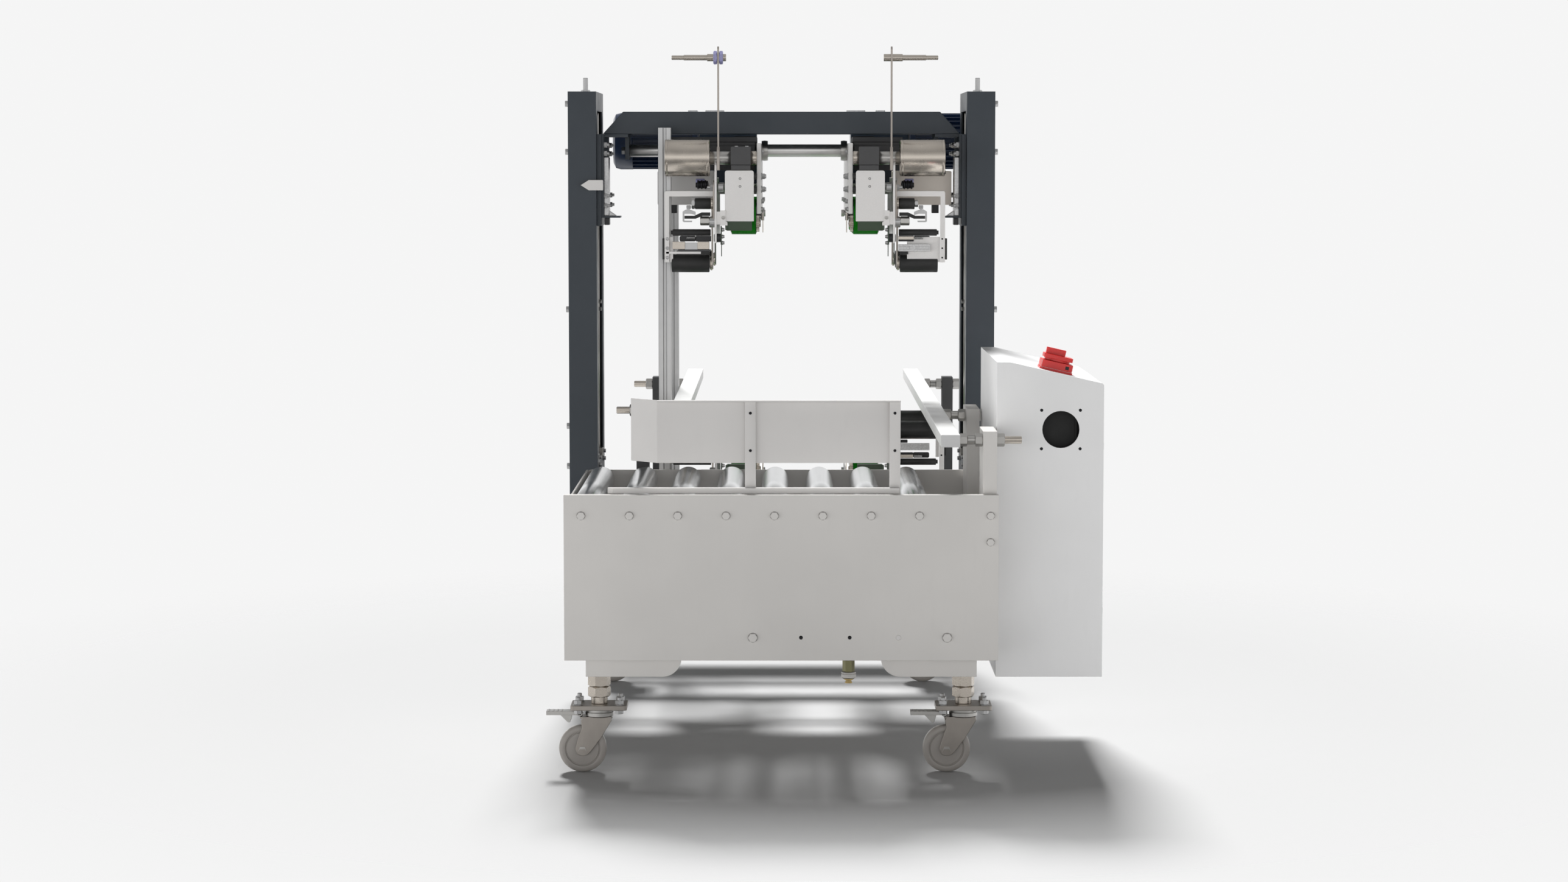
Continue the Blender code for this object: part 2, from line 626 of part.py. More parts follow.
def control_cabinet():
    def outline(inset):
        return [(CABINET_LEFT + inset, CABINET_BOTTOM + inset),
                (CABINET_RIGHT - inset, CABINET_BOTTOM + inset),
                (CABINET_RIGHT - inset, SLOPE_END_Z - 3 - inset),
                (CABINET_RIGHT - 3 - inset, slope_z(CABINET_RIGHT - 3) - inset),
                (SLOPE_START_X, CABINET_TOP - inset),
                (CABINET_LEFT + inset, CABINET_TOP - inset)]
    shell = prism("y", outline(0.0), *CABINET_Y)
    inside = prism("y", outline(CABINET_SHEET), CABINET_Y[0] + CABINET_SHEET,
                   CABINET_Y[1] - CABINET_SHEET)
    front = (CABINET_Y[0] - 1, CABINET_Y[0] + CABINET_SHEET + 1)
    cuts = [inside, rod("y", FAN_X, FAN_Z, FAN_RADIUS, *front, 32)]
    for dx in (-FAN_SCREW, FAN_SCREW):
        for dz in (-FAN_SCREW, FAN_SCREW):
            cuts.append(rod("y", FAN_X + dx, FAN_Z + dz, 2.8, *front, 8))
    corners = [slope_point(a, n) for a, n in ((-33, -1), (33, -1), (33, SWITCH_BASE),
                                              (-33, SWITCH_BASE))]
    switch_base = prism("y", corners, SWITCH_Y - 33, SWITCH_Y + 33)
    part("control_cabinet", "white_paint", [shell, switch_base], cuts)


def switch_knob():
    """Disc and bar handle of the main switch, standing square on the sloping top."""
    seat_x, seat_z = slope_point(0.0, SWITCH_BASE + 0.5)
    disc = rod("z", 0, 0, 27.0, 0.0, 12.0, 32)
    bar = box((-26, 26), (-6.5, 6.5), (11.0, 26.0))
    stand = Matrix.Translation((seat_x, SWITCH_Y, seat_z)) @ Matrix.Rotation(SLOPE, 4, "Y")
    for shape in (disc, bar):
        bmesh.ops.transform(shape, matrix=stand, verts=shape.verts)
    part("switch_knob", "red_plastic", [disc, bar], pivot=(seat_x, SWITCH_Y, seat_z))


def air_inlet():
    x, y = 140.0, 16.0
    part("air_inlet", "brass", [
        prism("z", circle(x, y, 11.0, 6), 221.0, TABLE_BOTTOM - FIT),
        rod("z", x, y, 15.5, 208.0, 222.0),
        rod("z", x, y, 7.5, 198.0, 209.0, 16),
    ])


def build():
    clear_scene()
    front_panel()
    table_sides()
    rear_table_panel()
    table_rollers()
    pusher()
    leg_brackets()
    for place in CASTER_Y:
        for side in SIGN:
            caster(side, place)
    main_frame()
    columns()
    carriages()
    crosshead()
    guide_rails()
    profile_post()
    tape_units()
    control_cabinet()
    switch_knob()
    air_inlet()


build()
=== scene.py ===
"""Looks for the carton edge sealer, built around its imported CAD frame.

Shapes are written in layout millimetres, the machine's own frame: X to the right from the
table's centre plane, Y away from the front panel's face, Z up from the floor. Each Piece
gathers shapes of one material on one body and becomes one object.
"""

import json
from math import atan2, cos, pi, radians, sin, sqrt, tan

import bmesh
import bpy
from mathutils import Matrix, Vector

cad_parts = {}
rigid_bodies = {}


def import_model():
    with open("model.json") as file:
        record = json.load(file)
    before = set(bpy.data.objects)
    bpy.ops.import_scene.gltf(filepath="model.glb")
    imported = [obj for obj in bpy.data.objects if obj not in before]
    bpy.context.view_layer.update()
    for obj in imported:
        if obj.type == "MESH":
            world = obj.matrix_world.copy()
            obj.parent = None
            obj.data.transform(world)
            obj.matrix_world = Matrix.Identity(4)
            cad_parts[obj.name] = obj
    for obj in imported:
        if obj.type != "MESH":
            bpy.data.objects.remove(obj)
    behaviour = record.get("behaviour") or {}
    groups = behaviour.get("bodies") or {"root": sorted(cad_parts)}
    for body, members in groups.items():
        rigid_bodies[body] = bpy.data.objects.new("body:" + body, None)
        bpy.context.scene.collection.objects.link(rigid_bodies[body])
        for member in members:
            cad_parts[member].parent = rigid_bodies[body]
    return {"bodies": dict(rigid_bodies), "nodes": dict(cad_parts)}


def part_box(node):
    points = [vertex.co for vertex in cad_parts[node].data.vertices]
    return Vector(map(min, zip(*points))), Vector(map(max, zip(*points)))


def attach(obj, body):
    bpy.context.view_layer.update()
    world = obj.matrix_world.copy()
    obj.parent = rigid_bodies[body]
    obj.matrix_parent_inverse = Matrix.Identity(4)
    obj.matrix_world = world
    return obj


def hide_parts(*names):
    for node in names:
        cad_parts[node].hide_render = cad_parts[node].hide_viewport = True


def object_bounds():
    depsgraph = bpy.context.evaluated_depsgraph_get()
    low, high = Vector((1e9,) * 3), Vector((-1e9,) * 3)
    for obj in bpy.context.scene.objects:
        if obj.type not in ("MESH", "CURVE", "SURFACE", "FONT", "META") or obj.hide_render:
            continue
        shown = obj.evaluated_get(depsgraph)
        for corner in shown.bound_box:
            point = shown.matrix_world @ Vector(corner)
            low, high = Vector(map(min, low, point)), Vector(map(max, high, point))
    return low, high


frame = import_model()
CAD_LOW, CAD_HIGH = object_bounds()

MM = 0.001
PANEL_LOW, PANEL_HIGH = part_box("front_panel")
ORIGIN = Vector(((PANEL_LOW.x + PANEL_HIGH.x) / 2, PANEL_LOW.y, CAD_LOW.z))
SIGN = {"left": -1.0, "right": 1.0}
SIDES = ("left", "right")


def at(x, y, z):
    """Layout millimetres to metres in the frame."""
    return ORIGIN + Vector((x, y, z)) * MM


def span(node):
    """Layout box of a CAD node as ((x0, x1), (y0, y1), (z0, z1)) in millimetres."""
    low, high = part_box(node)
    low, high = (low - ORIGIN) / MM, (high - ORIGIN) / MM
    return tuple(zip(low, high))


# ---------------------------------------------------------------- materials

class Surface:
    """A procedural material, put together node by node in object coordinates."""

    def __init__(self, name, rough, metallic=0.0):
        self.material = bpy.data.materials.new(name)
        self.material.use_nodes = True
        self.tree = self.material.node_tree
        self.shader = self.tree.nodes["Principled BSDF"]
        self.shader.inputs["Metallic"].default_value = metallic
        self.shader.inputs["Roughness"].default_value = rough
        self.place = self.add("TexCoord").outputs["Object"]
        self.height = None

    def add(self, kind, **inputs):
        node = self.tree.nodes.new("ShaderNode" + kind)
        for key, value in inputs.items():
            self.feed(node.inputs[key.replace("_", " ")], value)
        return node

    def feed(self, socket, value):
        if isinstance(value, bpy.types.NodeSocket):
            self.tree.links.new(value, socket)
        else:
            socket.default_value = value

    def noise(self, scale, detail=3.0, stretch=None, rough=0.55):
        """Noise whose grains are 1/scale metres; a stretch below 1 lengthens them on that axis."""
        place = self.place
        if stretch:
            place = self.add("Mapping", Vector=place, Scale=stretch).outputs["Vector"]
        return self.add("TexNoise", Vector=place, Scale=scale, Detail=detail,
                        Roughness=rough).outputs["Fac"]

    def cells(self, scale):
        return self.add("TexVoronoi", Vector=self.place, Scale=scale).outputs["Distance"]

    def waves(self, scale, axis, stretch=None):
        place = self.place
        if stretch:
            place = self.add("Mapping", Vector=place, Scale=stretch).outputs["Vector"]
        node = self.add("TexWave", Vector=place, Scale=scale)
        node.bands_direction = axis
        return node.outputs["Fac"]

    def math(self, operation, a, b):
        node = self.tree.nodes.new("ShaderNodeMath")
        node.operation = operation
        self.feed(node.inputs[0], a)
        self.feed(node.inputs[1], b)
        return node.outputs[0]

    def level(self, value, low, high, start=0.3, end=0.7):
        """Rescale a 0 to 1 pattern to low...high, reading it between start and end."""
        node = self.add("MapRange", Value=value, From_Min=start, From_Max=end)
        node.inputs["To Min"].default_value = low
        node.inputs["To Max"].default_value = high
        return node.outputs["Result"]

    def blend(self, amount, first, second):
        node = self.tree.nodes.new("ShaderNodeMix")
        node.data_type = "RGBA"
        for socket, value in zip((node.inputs[0], node.inputs[6], node.inputs[7]),
                                 (amount, first, second)):
            self.feed(socket, (*value, 1.0) if isinstance(value, tuple) else value)
        return node.outputs[2]

    def colour(self, value):
        self.feed(self.shader.inputs["Base Color"], value)

    def rough(self, value):
        self.feed(self.shader.inputs["Roughness"], value)

    def bump(self, height, depth, strength=1.0):
        """Relief of the given depth in metres; calls add up."""
        node = self.add("Bump", Height=height, Distance=depth, Strength=strength)
        if self.height is not None:
            self.tree.links.new(self.height, node.inputs["Normal"])
        self.height = node.outputs["Normal"]
        self.feed(self.shader.inputs["Normal"], self.height)

    def set(self, **inputs):
        for key, value in inputs.items():
            self.shader.inputs[key.replace("_", " ")].default_value = value
        return self


def shade(colour, amount):
    return tuple(min(1.0, channel * amount) for channel in colour)


def paint(name, colour, rough=0.45, peel=0.00012, speckle=0.0, coat=0.0):
    """Powder coat: fine orange peel, slow drift of tone, handling marks in the gloss."""
    surface = Surface(name, rough)
    drift = surface.level(surface.noise(5.0, 2.0), 0.0, 1.0)
    tone = surface.blend(drift, shade(colour, 0.97), shade(colour, 1.03))
    if speckle:
        grains = surface.level(surface.noise(1400.0, 2.0), 0.0, 1.0, 0.42, 0.6)
        tone = surface.blend(grains, tone, shade(colour, 1.0 - speckle))
    dust = surface.level(surface.noise(60.0, 4.0, (1.0, 1.0, 0.25)), 0.0, 0.35, 0.55, 0.8)
    surface.colour(surface.blend(dust, tone, shade(colour, 0.955)))
    surface.rough(surface.level(surface.noise(23.0, 4.0), rough - 0.05, rough + 0.07))
    surface.bump(surface.noise(520.0, 2.0), peel, 0.5)
    surface.bump(surface.noise(2600.0, 1.0), peel * 0.25, 0.4)
    surface.set(Coat_Weight=coat, Coat_Roughness=0.2)
    return surface.material


def metal(name, colour, rough=0.3, grain=(1.0, 1.0, 1.0), depth=0.00004, tarnish=0.06,
          flake=0.0):
    """Bare or plated metal with drawn or turned grain along the axes where grain is small."""
    surface = Surface(name, rough, 1.0)
    lines = surface.noise(700.0, 2.0, grain)
    cloud = surface.level(surface.noise(28.0, 4.0), 0.0, 1.0)
    tone = surface.blend(cloud, shade(colour, 1.0 - tarnish), shade(colour, 1.0 + tarnish))
    tone = surface.blend(surface.level(lines, 0.0, 0.4), tone, shade(colour, 0.94))
    if flake:
        spangle = surface.level(surface.cells(260.0), 0.0, 1.0, 0.1, 0.7)
        tone = surface.blend(spangle, tone, shade(colour, 1.0 - flake))
    surface.colour(tone)
    surface.rough(surface.level(surface.math("ADD", surface.math("MULTIPLY", lines, 0.6),
                                             surface.math("MULTIPLY", cloud, 0.4)),
                                rough * 0.92, rough * 1.12))
    if depth:
        surface.bump(lines, depth, 0.35)
    return surface.material


def rubber(name, colour, rough=0.55, weave=0.0, sheen=0.4):
    """Moulded rubber: matt skin with fine pores, a little chalky where it has been handled."""
    surface = Surface(name, rough)
    bloom = surface.level(surface.noise(35.0, 5.0), 0.0, 0.6)
    surface.colour(surface.blend(bloom, colour, shade(colour, 1.45)))
    surface.rough(surface.level(surface.noise(90.0, 3.0), rough - 0.08, rough + 0.12))
    surface.bump(surface.noise(1600.0, 3.0), 0.00015, 0.4)
    if weave:
        surface.bump(surface.waves(weave, "Y"), 0.0003, 0.5)
        surface.bump(surface.waves(weave, "X"), 0.0003, 0.35)
    surface.set(Specular_IOR_Level=sheen)
    return surface.material


def plastic(name, colour, rough=0.35):
    """Moulded plastic: even colour, satin texture, faint flow marks."""
    surface = Surface(name, rough)
    flow = surface.level(surface.noise(18.0, 2.0, (1.0, 0.3, 1.0)), 0.0, 1.0)
    surface.colour(surface.blend(flow, shade(colour, 0.95), shade(colour, 1.04)))
    surface.rough(surface.level(surface.noise(140.0, 3.0), rough - 0.05, rough + 0.08))
    surface.bump(surface.noise(1900.0, 2.0), 0.00006, 0.4)
    surface.set(Coat_Weight=0.15, Coat_Roughness=0.25)
    return surface.material


def threaded(name, colour, axis, pitch):
    """Plated screw thread: fine rings across the rod's axis, with painted shade in the roots and a
    painted highlight on the crests.
    """
    surface = Surface(name, 0.3, 1.0)
    # The wave texture repeats every 2 pi / (20 * scale) along its axis.
    rings = surface.waves(2 * pi / (20 * pitch * MM), axis)
    # Painted shade in the thread roots and a painted highlight on the crests.
    surface.colour(surface.blend(rings, shade(colour, 0.55), shade(colour, 1.1)))
    surface.rough(surface.level(surface.noise(300.0, 3.0), 0.22, 0.42))
    surface.bump(rings, 0.0006, 0.9)
    return surface.material


GREY_PAINT = paint("grey_panel_paint", (0.66, 0.642, 0.618), 0.42)
PLATE_PAINT = paint("pusher_paint", (0.66, 0.645, 0.63), 0.40)
WHITE_PAINT = paint("cabinet_paint", (0.86, 0.86, 0.86), 0.38)
UNIT_PAINT = paint("unit_plate_paint", (0.80, 0.785, 0.77), 0.42, speckle=0.12)
BLUE_PAINT = paint("blue_grey_paint", (0.034, 0.044, 0.056), 0.42)
NAVY_PAINT = paint("motor_navy_paint", (0.008, 0.021, 0.058), 0.30, coat=0.4)
GEAR_PAINT = paint("gear_case_paint", (0.026, 0.042, 0.068), 0.36)
BEIGE_PAINT = paint("beige_box_paint", (0.86, 0.79, 0.71), 0.5, speckle=0.08)
# Darker grey for the painted shade ring round each panel bolt.
BOLT_SHADE_GREY = paint("seam_shadow_grey", (0.30, 0.29, 0.28), 0.5)
# Dark green painted reflection of the green belt, with painted shade, for the cover's lower lip and
# foot.
BELT_REFLECTION_SHADE = paint("cover_lip_paint", (0.052, 0.076, 0.050), 0.42)
CHROME = metal("roller_chrome", (0.80, 0.81, 0.82), 0.24, (1.0, 0.006, 1.0), 0.0, 0.03)
SHAFT_CHROME = metal("shaft_chrome", (0.80, 0.79, 0.78), 0.32, (0.01, 1.0, 1.0), 0.0, 0.03)
NICKEL = metal("brown_nickel", (0.62, 0.565, 0.50), 0.26, (0.02, 1.0, 1.0), 0.0)
CASTER_STEEL = metal("caster_steel", (0.38, 0.35, 0.32), 0.32, (1.0, 1.0, 0.05), 0.00005)
STEEL = metal("bright_steel", (0.50, 0.49, 0.47), 0.30, (1.0, 1.0, 0.1), 0.00003)
ZINC = metal("zinc_plate", (0.52, 0.52, 0.52), 0.30, (1.0, 1.0, 1.0), 0.00002, 0.08)
ALUMINIUM = metal("extruded_aluminium", (0.58, 0.58, 0.58), 0.33, (1.0, 1.0, 0.004), 0.0)
GALVANISED = metal("galvanised_strip", (0.70, 0.70, 0.70), 0.36, (1.0, 1.0, 1.0), 0.00003,
                   0.1, flake=0.18)
BLACK_OXIDE = metal("black_oxide", (0.035, 0.035, 0.038), 0.36, (1.0, 1.0, 1.0), 0.00004)
BLACK_PAINT = paint("black_satin_paint", (0.022, 0.022, 0.024), 0.40)
DARK_GREY = paint("dark_grey_paint", (0.060, 0.060, 0.062), 0.48)
GREEN_BELT = rubber("green_drive_belt", (0.002, 0.150, 0.003), 0.62, weave=90.0, sheen=0.15)
BLACK_RUBBER = rubber("black_roller_rubber", (0.019, 0.019, 0.019), 0.42)
RED_PLASTIC = plastic("switch_red", (0.70, 0.022, 0.020), 0.33)
LILAC = plastic("lilac_nylon", (0.30, 0.30, 0.52), 0.4)
OLIVE_BRASS = metal("olive_brass", (0.23, 0.22, 0.125), 0.32, (1.0, 1.0, 0.1))
NICKEL_PLATE = metal("nickel_plate_edge", (0.47, 0.43, 0.39), 0.38, (1.0, 1.0, 0.03))
EDGE_GREEN = paint("edge_plate_paint", (0.030, 0.050, 0.032), 0.38)
# Near-black painted shade for the inside of the cabinet behind the fan hole.
CABINET_SHADE = paint("cabinet_dark_inside", (0.012, 0.012, 0.012), 0.6)
WHEEL_GREY = plastic("wheel_polyamide", (0.36, 0.335, 0.31), 0.36)
RAIL_WHITE = paint("rail_white_paint", (0.80, 0.80, 0.79), 0.35)
CAP_GREY = plastic("rail_cap_grey", (0.62, 0.62, 0.62), 0.45)
BRASS = metal("brass", (0.55, 0.42, 0.20), 0.3, (1.0, 1.0, 0.1))
THREAD_Z = threaded("threaded_stem", (0.55, 0.52, 0.48), "Z", 2.0)

# Paint and metal slots of the record, with the materials that stand for them.
SLOTS = {
    "grey_paint": (GREY_PAINT, BOLT_SHADE_GREY, PLATE_PAINT, BELT_REFLECTION_SHADE),
    "black_rubber": (DARK_GREY, BLACK_OXIDE, BLACK_PAINT, BLACK_RUBBER, EDGE_GREEN,
        CABINET_SHADE),
    "chrome": (CHROME, SHAFT_CHROME),
    "nickel": (ZINC, STEEL, THREAD_Z, NICKEL, CASTER_STEEL, WHEEL_GREY, NICKEL_PLATE, LILAC),
    "blue_paint": (BLUE_PAINT,),
    "aluminium": (GALVANISED, ALUMINIUM),
    "white_paint": (RAIL_WHITE, CAP_GREY, UNIT_PAINT, WHITE_PAINT, BEIGE_PAINT),
    "green_belt": (GREEN_BELT,),
    "motor_paint": (GEAR_PAINT, NAVY_PAINT),
    "red_plastic": (RED_PLASTIC,),
    "brass": (OLIVE_BRASS, BRASS),
}
SLOT_OF = {material: slot for slot, group in SLOTS.items() for material in group}


# ---------------------------------------------------------------- shapes

def to_space(axis, u, v, along):
    """Place a point of a profile drawn across an axis."""
    if axis == "x":
        return (along, u, v)
    if axis == "y":
        return (u, along, v)
    return (u, v, along)


def circle(u, v, radius, sides, turn=0.0):
    return [(u + radius * cos(turn + 2 * pi * i / sides),
             v + radius * sin(turn + 2 * pi * i / sides)) for i in range(sides)]


def solid(*profile):
    """Turned profile of (radius, along) points, closed on the axis at both ends."""
    return [(0, profile[0][1]), *profile, (0, profile[-1][1])]


def rounded(low, high, radius, corners=(1, 1, 1, 1), steps=5):
    """Rectangle outline with chosen corners rounded, from lower left anticlockwise."""
    points = []
    centres = ((low[0], low[1], 1, 1), (high[0], low[1], -1, 1), (high[0], high[1], -1, -1),
               (low[0], high[1], 1, -1))
    for index, ((u, v, inward_u, inward_v), wanted) in enumerate(zip(centres, corners)):
        if not wanted:
            points.append((u, v))
            continue
        start = pi + index * pi / 2
        for i in range(steps + 1):
            angle = start + pi / 2 * i / steps
            points.append((u + inward_u * radius + radius * cos(angle),
                           v + inward_v * radius + radius * sin(angle)))
    return points


def pill(u0, v0, u1, v1, radius0, radius1=None, steps=12):
    """Outline round two circles."""
    radius1 = radius0 if radius1 is None else radius1
    heading = atan2(v1 - v0, u1 - u0)
    points = []
    for u, v, radius, turn in ((u1, v1, radius1, -pi / 2), (u0, v0, radius0, pi / 2)):
        for i in range(steps + 1):
            angle = heading + turn + pi * i / steps
            points.append((u + radius * cos(angle), v + radius * sin(angle)))
    return points


class Piece:
    """One visible object: shapes of one material that move with one body."""

    def __init__(self, name, material, body="base", slot=None):
        self.name, self.material, self.body = name, material, body
        self.slot = slot or SLOT_OF[material]
        self.shape = bmesh.new()

    def _take(self, new):
        """Add the geometry of another bmesh."""
        scratch = bpy.data.meshes.new("scratch")
        new.to_mesh(scratch)
        new.free()
        self.shape.from_mesh(scratch)
        bpy.data.meshes.remove(scratch)
        return self

    def prism(self, axis, outline, start, end, turn=None):
        """Solid with one outline along an axis; turn moves it afterwards, in millimetres."""
        new = bmesh.new()
        low, high = min(start, end), max(start, end)
        bottom = [new.verts.new(to_space(axis, u, v, low)) for u, v in outline]
        top = [new.verts.new(to_space(axis, u, v, high)) for u, v in outline]
        new.faces.new(bottom)
        new.faces.new(top)
        for i in range(len(outline)):
            j = (i + 1) % len(outline)
            new.faces.new((bottom[i], bottom[j], top[j], top[i]))
        if turn:
            bmesh.ops.transform(new, matrix=turn, verts=new.verts)
        bmesh.ops.recalc_face_normals(new, faces=new.faces)
        return self._take(new)

    def ring(self, axis, outer, inner, start, end):
        """Wall between two outlines with the same number of points."""
        new = bmesh.new()
        rims = [[new.verts.new(to_space(axis, u, v, along)) for u, v in outline]
                for along in (start, end) for outline in (outer, inner)]
        low_out, low_in, high_out, high_in = rims
        count = len(outer)
        for i in range(count):
            j = (i + 1) % count
            for first, second in ((low_out, high_out), (high_in, low_in), (low_in, low_out),
                                  (high_out, high_in)):
                new.faces.new((first[i], first[j], second[j], second[i]))
        bmesh.ops.recalc_face_normals(new, faces=new.faces)
        return self._take(new)

    def box(self, x, y, z, turn=None):
        (x0, x1), (y0, y1) = sorted(x), y
        return self.prism("z", [(x0, y0), (x1, y0), (x1, y1), (x0, y1)], *z, turn)

    def lathe(self, axis, u, v, profile, sides=48, turn=None):
        """Turned solid. The profile is (radius, along) points; zero radius ends close it."""
        new = bmesh.new()
        rings = []
        for radius, along in profile:
            if radius < 1e-6:
                rings.append([new.verts.new(to_space(axis, u, v, along))])
            else:
                outline = circle(u, v, radius, sides)
                rings.append([new.verts.new(to_space(axis, *p, along)) for p in outline])
        closed = profile[0][0] > 1e-6 and profile[-1][0] > 1e-6
        pairs = list(zip(rings, rings[1:])) + ([(rings[-1], rings[0])] if closed else [])
        for first, second in pairs:
            for i in range(sides):
                j = (i + 1) % sides
                if len(first) == 1:
                    new.faces.new((first[0], second[j], second[i]))
                elif len(second) == 1:
                    new.faces.new((first[i], first[j], second[0]))
                else:
                    new.faces.new((first[i], first[j], second[j], second[i]))
        if turn:
            bmesh.ops.transform(new, matrix=turn, verts=new.verts)
        bmesh.ops.recalc_face_normals(new, faces=new.faces)
        return self._take(new)

    def rod(self, axis, u, v, radius, start, end, sides=40, chamfer=0.8, bore=0.0, turn=None):
        """Round bar with chamfered ends, or a tube when it has a bore."""
        low, high = min(start, end), max(start, end)
        edge = min(chamfer, radius * 0.4, (high - low) * 0.4)
        outside = [(radius - edge, low), (radius, low + edge), (radius, high - edge),
                   (radius - edge, high)]
        if bore:
            return self.lathe(axis, u, v, outside + [(bore, high), (bore, low)], sides, turn)
        return self.lathe(axis, u, v, [(0, low)] + outside + [(0, high)], sides, turn)

    def hexnut(self, axis, u, v, flats, start, end, turn=0.0):
        """Hexagon with its corners turned off at both ends."""
        new = bmesh.new()
        low, high = min(start, end), max(start, end)
        corner = flats / sqrt(3)
        drop = min((corner - flats / 2) * 0.75, (high - low) * 0.3)
        rings = []
        for along, round_radius in ((low, flats / 2 * 0.97), (low + drop, None),
                                    (high - drop, None), (high, flats / 2 * 0.97)):
            ring = []
            for i in range(24):
                angle = turn + 2 * pi * i / 24
                if round_radius:
                    reach = round_radius
                else:
                    offset = (2 * pi * i / 24) % (pi / 3) - pi / 6
                    reach = flats / 2 / cos(offset)
                ring.append(new.verts.new(to_space(axis, u + reach * cos(angle),
                                                   v + reach * sin(angle), along)))
            rings.append(ring)
        # The middle rings dip towards the flats, which gives the curved chamfer of a real nut.
        for ring, direction in ((rings[1], -1), (rings[2], 1)):
            for i, vert in enumerate(ring):
                offset = abs((2 * pi * i / 24) % (pi / 3) - pi / 6)
                share = 1.0 - offset / (pi / 6)
                index = "xyz".index(axis)
                vert.co[index] += direction * drop * 0.85 * share
        for first, second in zip(rings, rings[1:]):
            for i in range(24):
                j = (i + 1) % 24
                new.faces.new((first[i], first[j], second[j], second[i]))
        new.faces.new(rings[0])
        new.faces.new(rings[-1])
        bmesh.ops.recalc_face_normals(new, faces=new.faces)
        return self._take(new)

    def sweep(self, path, radius, sides=12):
        """Round wire along points in layout millimetres."""
        new = bmesh.new()
        rings = []
        points = [Vector(p) for p in path]
        normal = None
        for i, point in enumerate(points):
            along = (points[min(i + 1, len(points) - 1)] - points[max(i - 1, 0)]).normalized()
            if normal is None:
                normal = along.orthogonal().normalized()
            normal = (normal - along * normal.dot(along)).normalized()
            other = along.cross(normal)
            turns = (2 * pi * k / sides for k in range(sides))
            rings.append([new.verts.new(point + radius * (normal * cos(a) + other * sin(a)))
                          for a in turns])
        for first, second in zip(rings, rings[1:]):
            for i in range(sides):
                j = (i + 1) % sides
                new.faces.new((first[i], first[j], second[j], second[i]))
        new.faces.new(rings[0])
        new.faces.new(rings[-1])
        bmesh.ops.recalc_face_normals(new, faces=new.faces)
        return self._take(new)

    def drop(self):
        """Forget a piece that turned out empty."""
        self.shape.free()

    def copy_node(self, node):
        """Start from a CAD node's own mesh, cleaned of the triangulation."""
        source = frame["nodes"][node].data
        new = bmesh.new()
        new.from_mesh(source)
        for vert in new.verts:
            vert.co = (vert.co - ORIGIN) / MM
        bmesh.ops.remove_doubles(new, verts=new.verts, dist=0.01)
        bmesh.ops.dissolve_limit(new, angle_limit=radians(0.6), verts=new.verts,
                                 edges=new.edges)
        return self._take(new)

    def done(self, bevel=0.0, steps=2, replaces=(), angle=33.0):
        """Make the object, soften its edges, put it on its body and hide what it stands for."""
        for vert in self.shape.verts:
            vert.co = at(*vert.co)
        mesh = bpy.data.meshes.new(self.name)
        self.shape.to_mesh(mesh)
        self.shape.free()
        mesh.materials.clear()
        mesh.materials.append(self.material)
        mesh.shade_smooth()
        item = bpy.data.objects.new(self.name, mesh)
        bpy.context.collection.objects.link(item)
        if bevel:
            rounding = item.modifiers.new("soft_edges", "BEVEL")
            rounding.width = bevel * MM
            rounding.segments = steps
            rounding.limit_method = "ANGLE"
            rounding.angle_limit = radians(angle)
            rounding.harden_normals = True
            rounding.use_clamp_overlap = True
        mesh.set_sharp_from_angle(angle=radians(angle + 12.0))
        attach(item, self.body)
        if replaces:
            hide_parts(*replaces)
        return item


BODY_OF = {}
for body_name, empty in frame["bodies"].items():
    for child in empty.children:
        BODY_OF[child.name] = body_name


def soften(node, material, bevel=0.8):
    """A CAD node shown with softened edges and its own finish."""
    piece = Piece(f"{node}_skin", material, BODY_OF[node])
    return piece.copy_node(node).done(bevel, replaces=(node,))


# ---------------------------------------------------------------- roller table

ROLLER_COUNT = 8
ROLLERS = [f"roller_{index + 1}" for index in range(ROLLER_COUNT)]
ROLLER_Z = sum(span("roller_1")[2]) / 2
TABLE_X, _, TABLE_Z = span("front_panel")
LOW_BOLT_Z = TABLE_Z[0] + 48


def middle(pair):
    return (pair[0] + pair[1]) / 2


def panel_bolt(piece, shade_ring, x, z, flats=15):
    """Hexagon head painted over with the panel it holds; a darker grey ring round it is painted
    shade.
    """
    piece.hexnut("y", x, z, flats, -5.5, 0.5)
    # Painted shade: a thin darker disc under the head shows as a ring round it.
    shade_ring.rod("y", x, z, flats * 0.60, -0.5, 0.5, 48, 0.2)


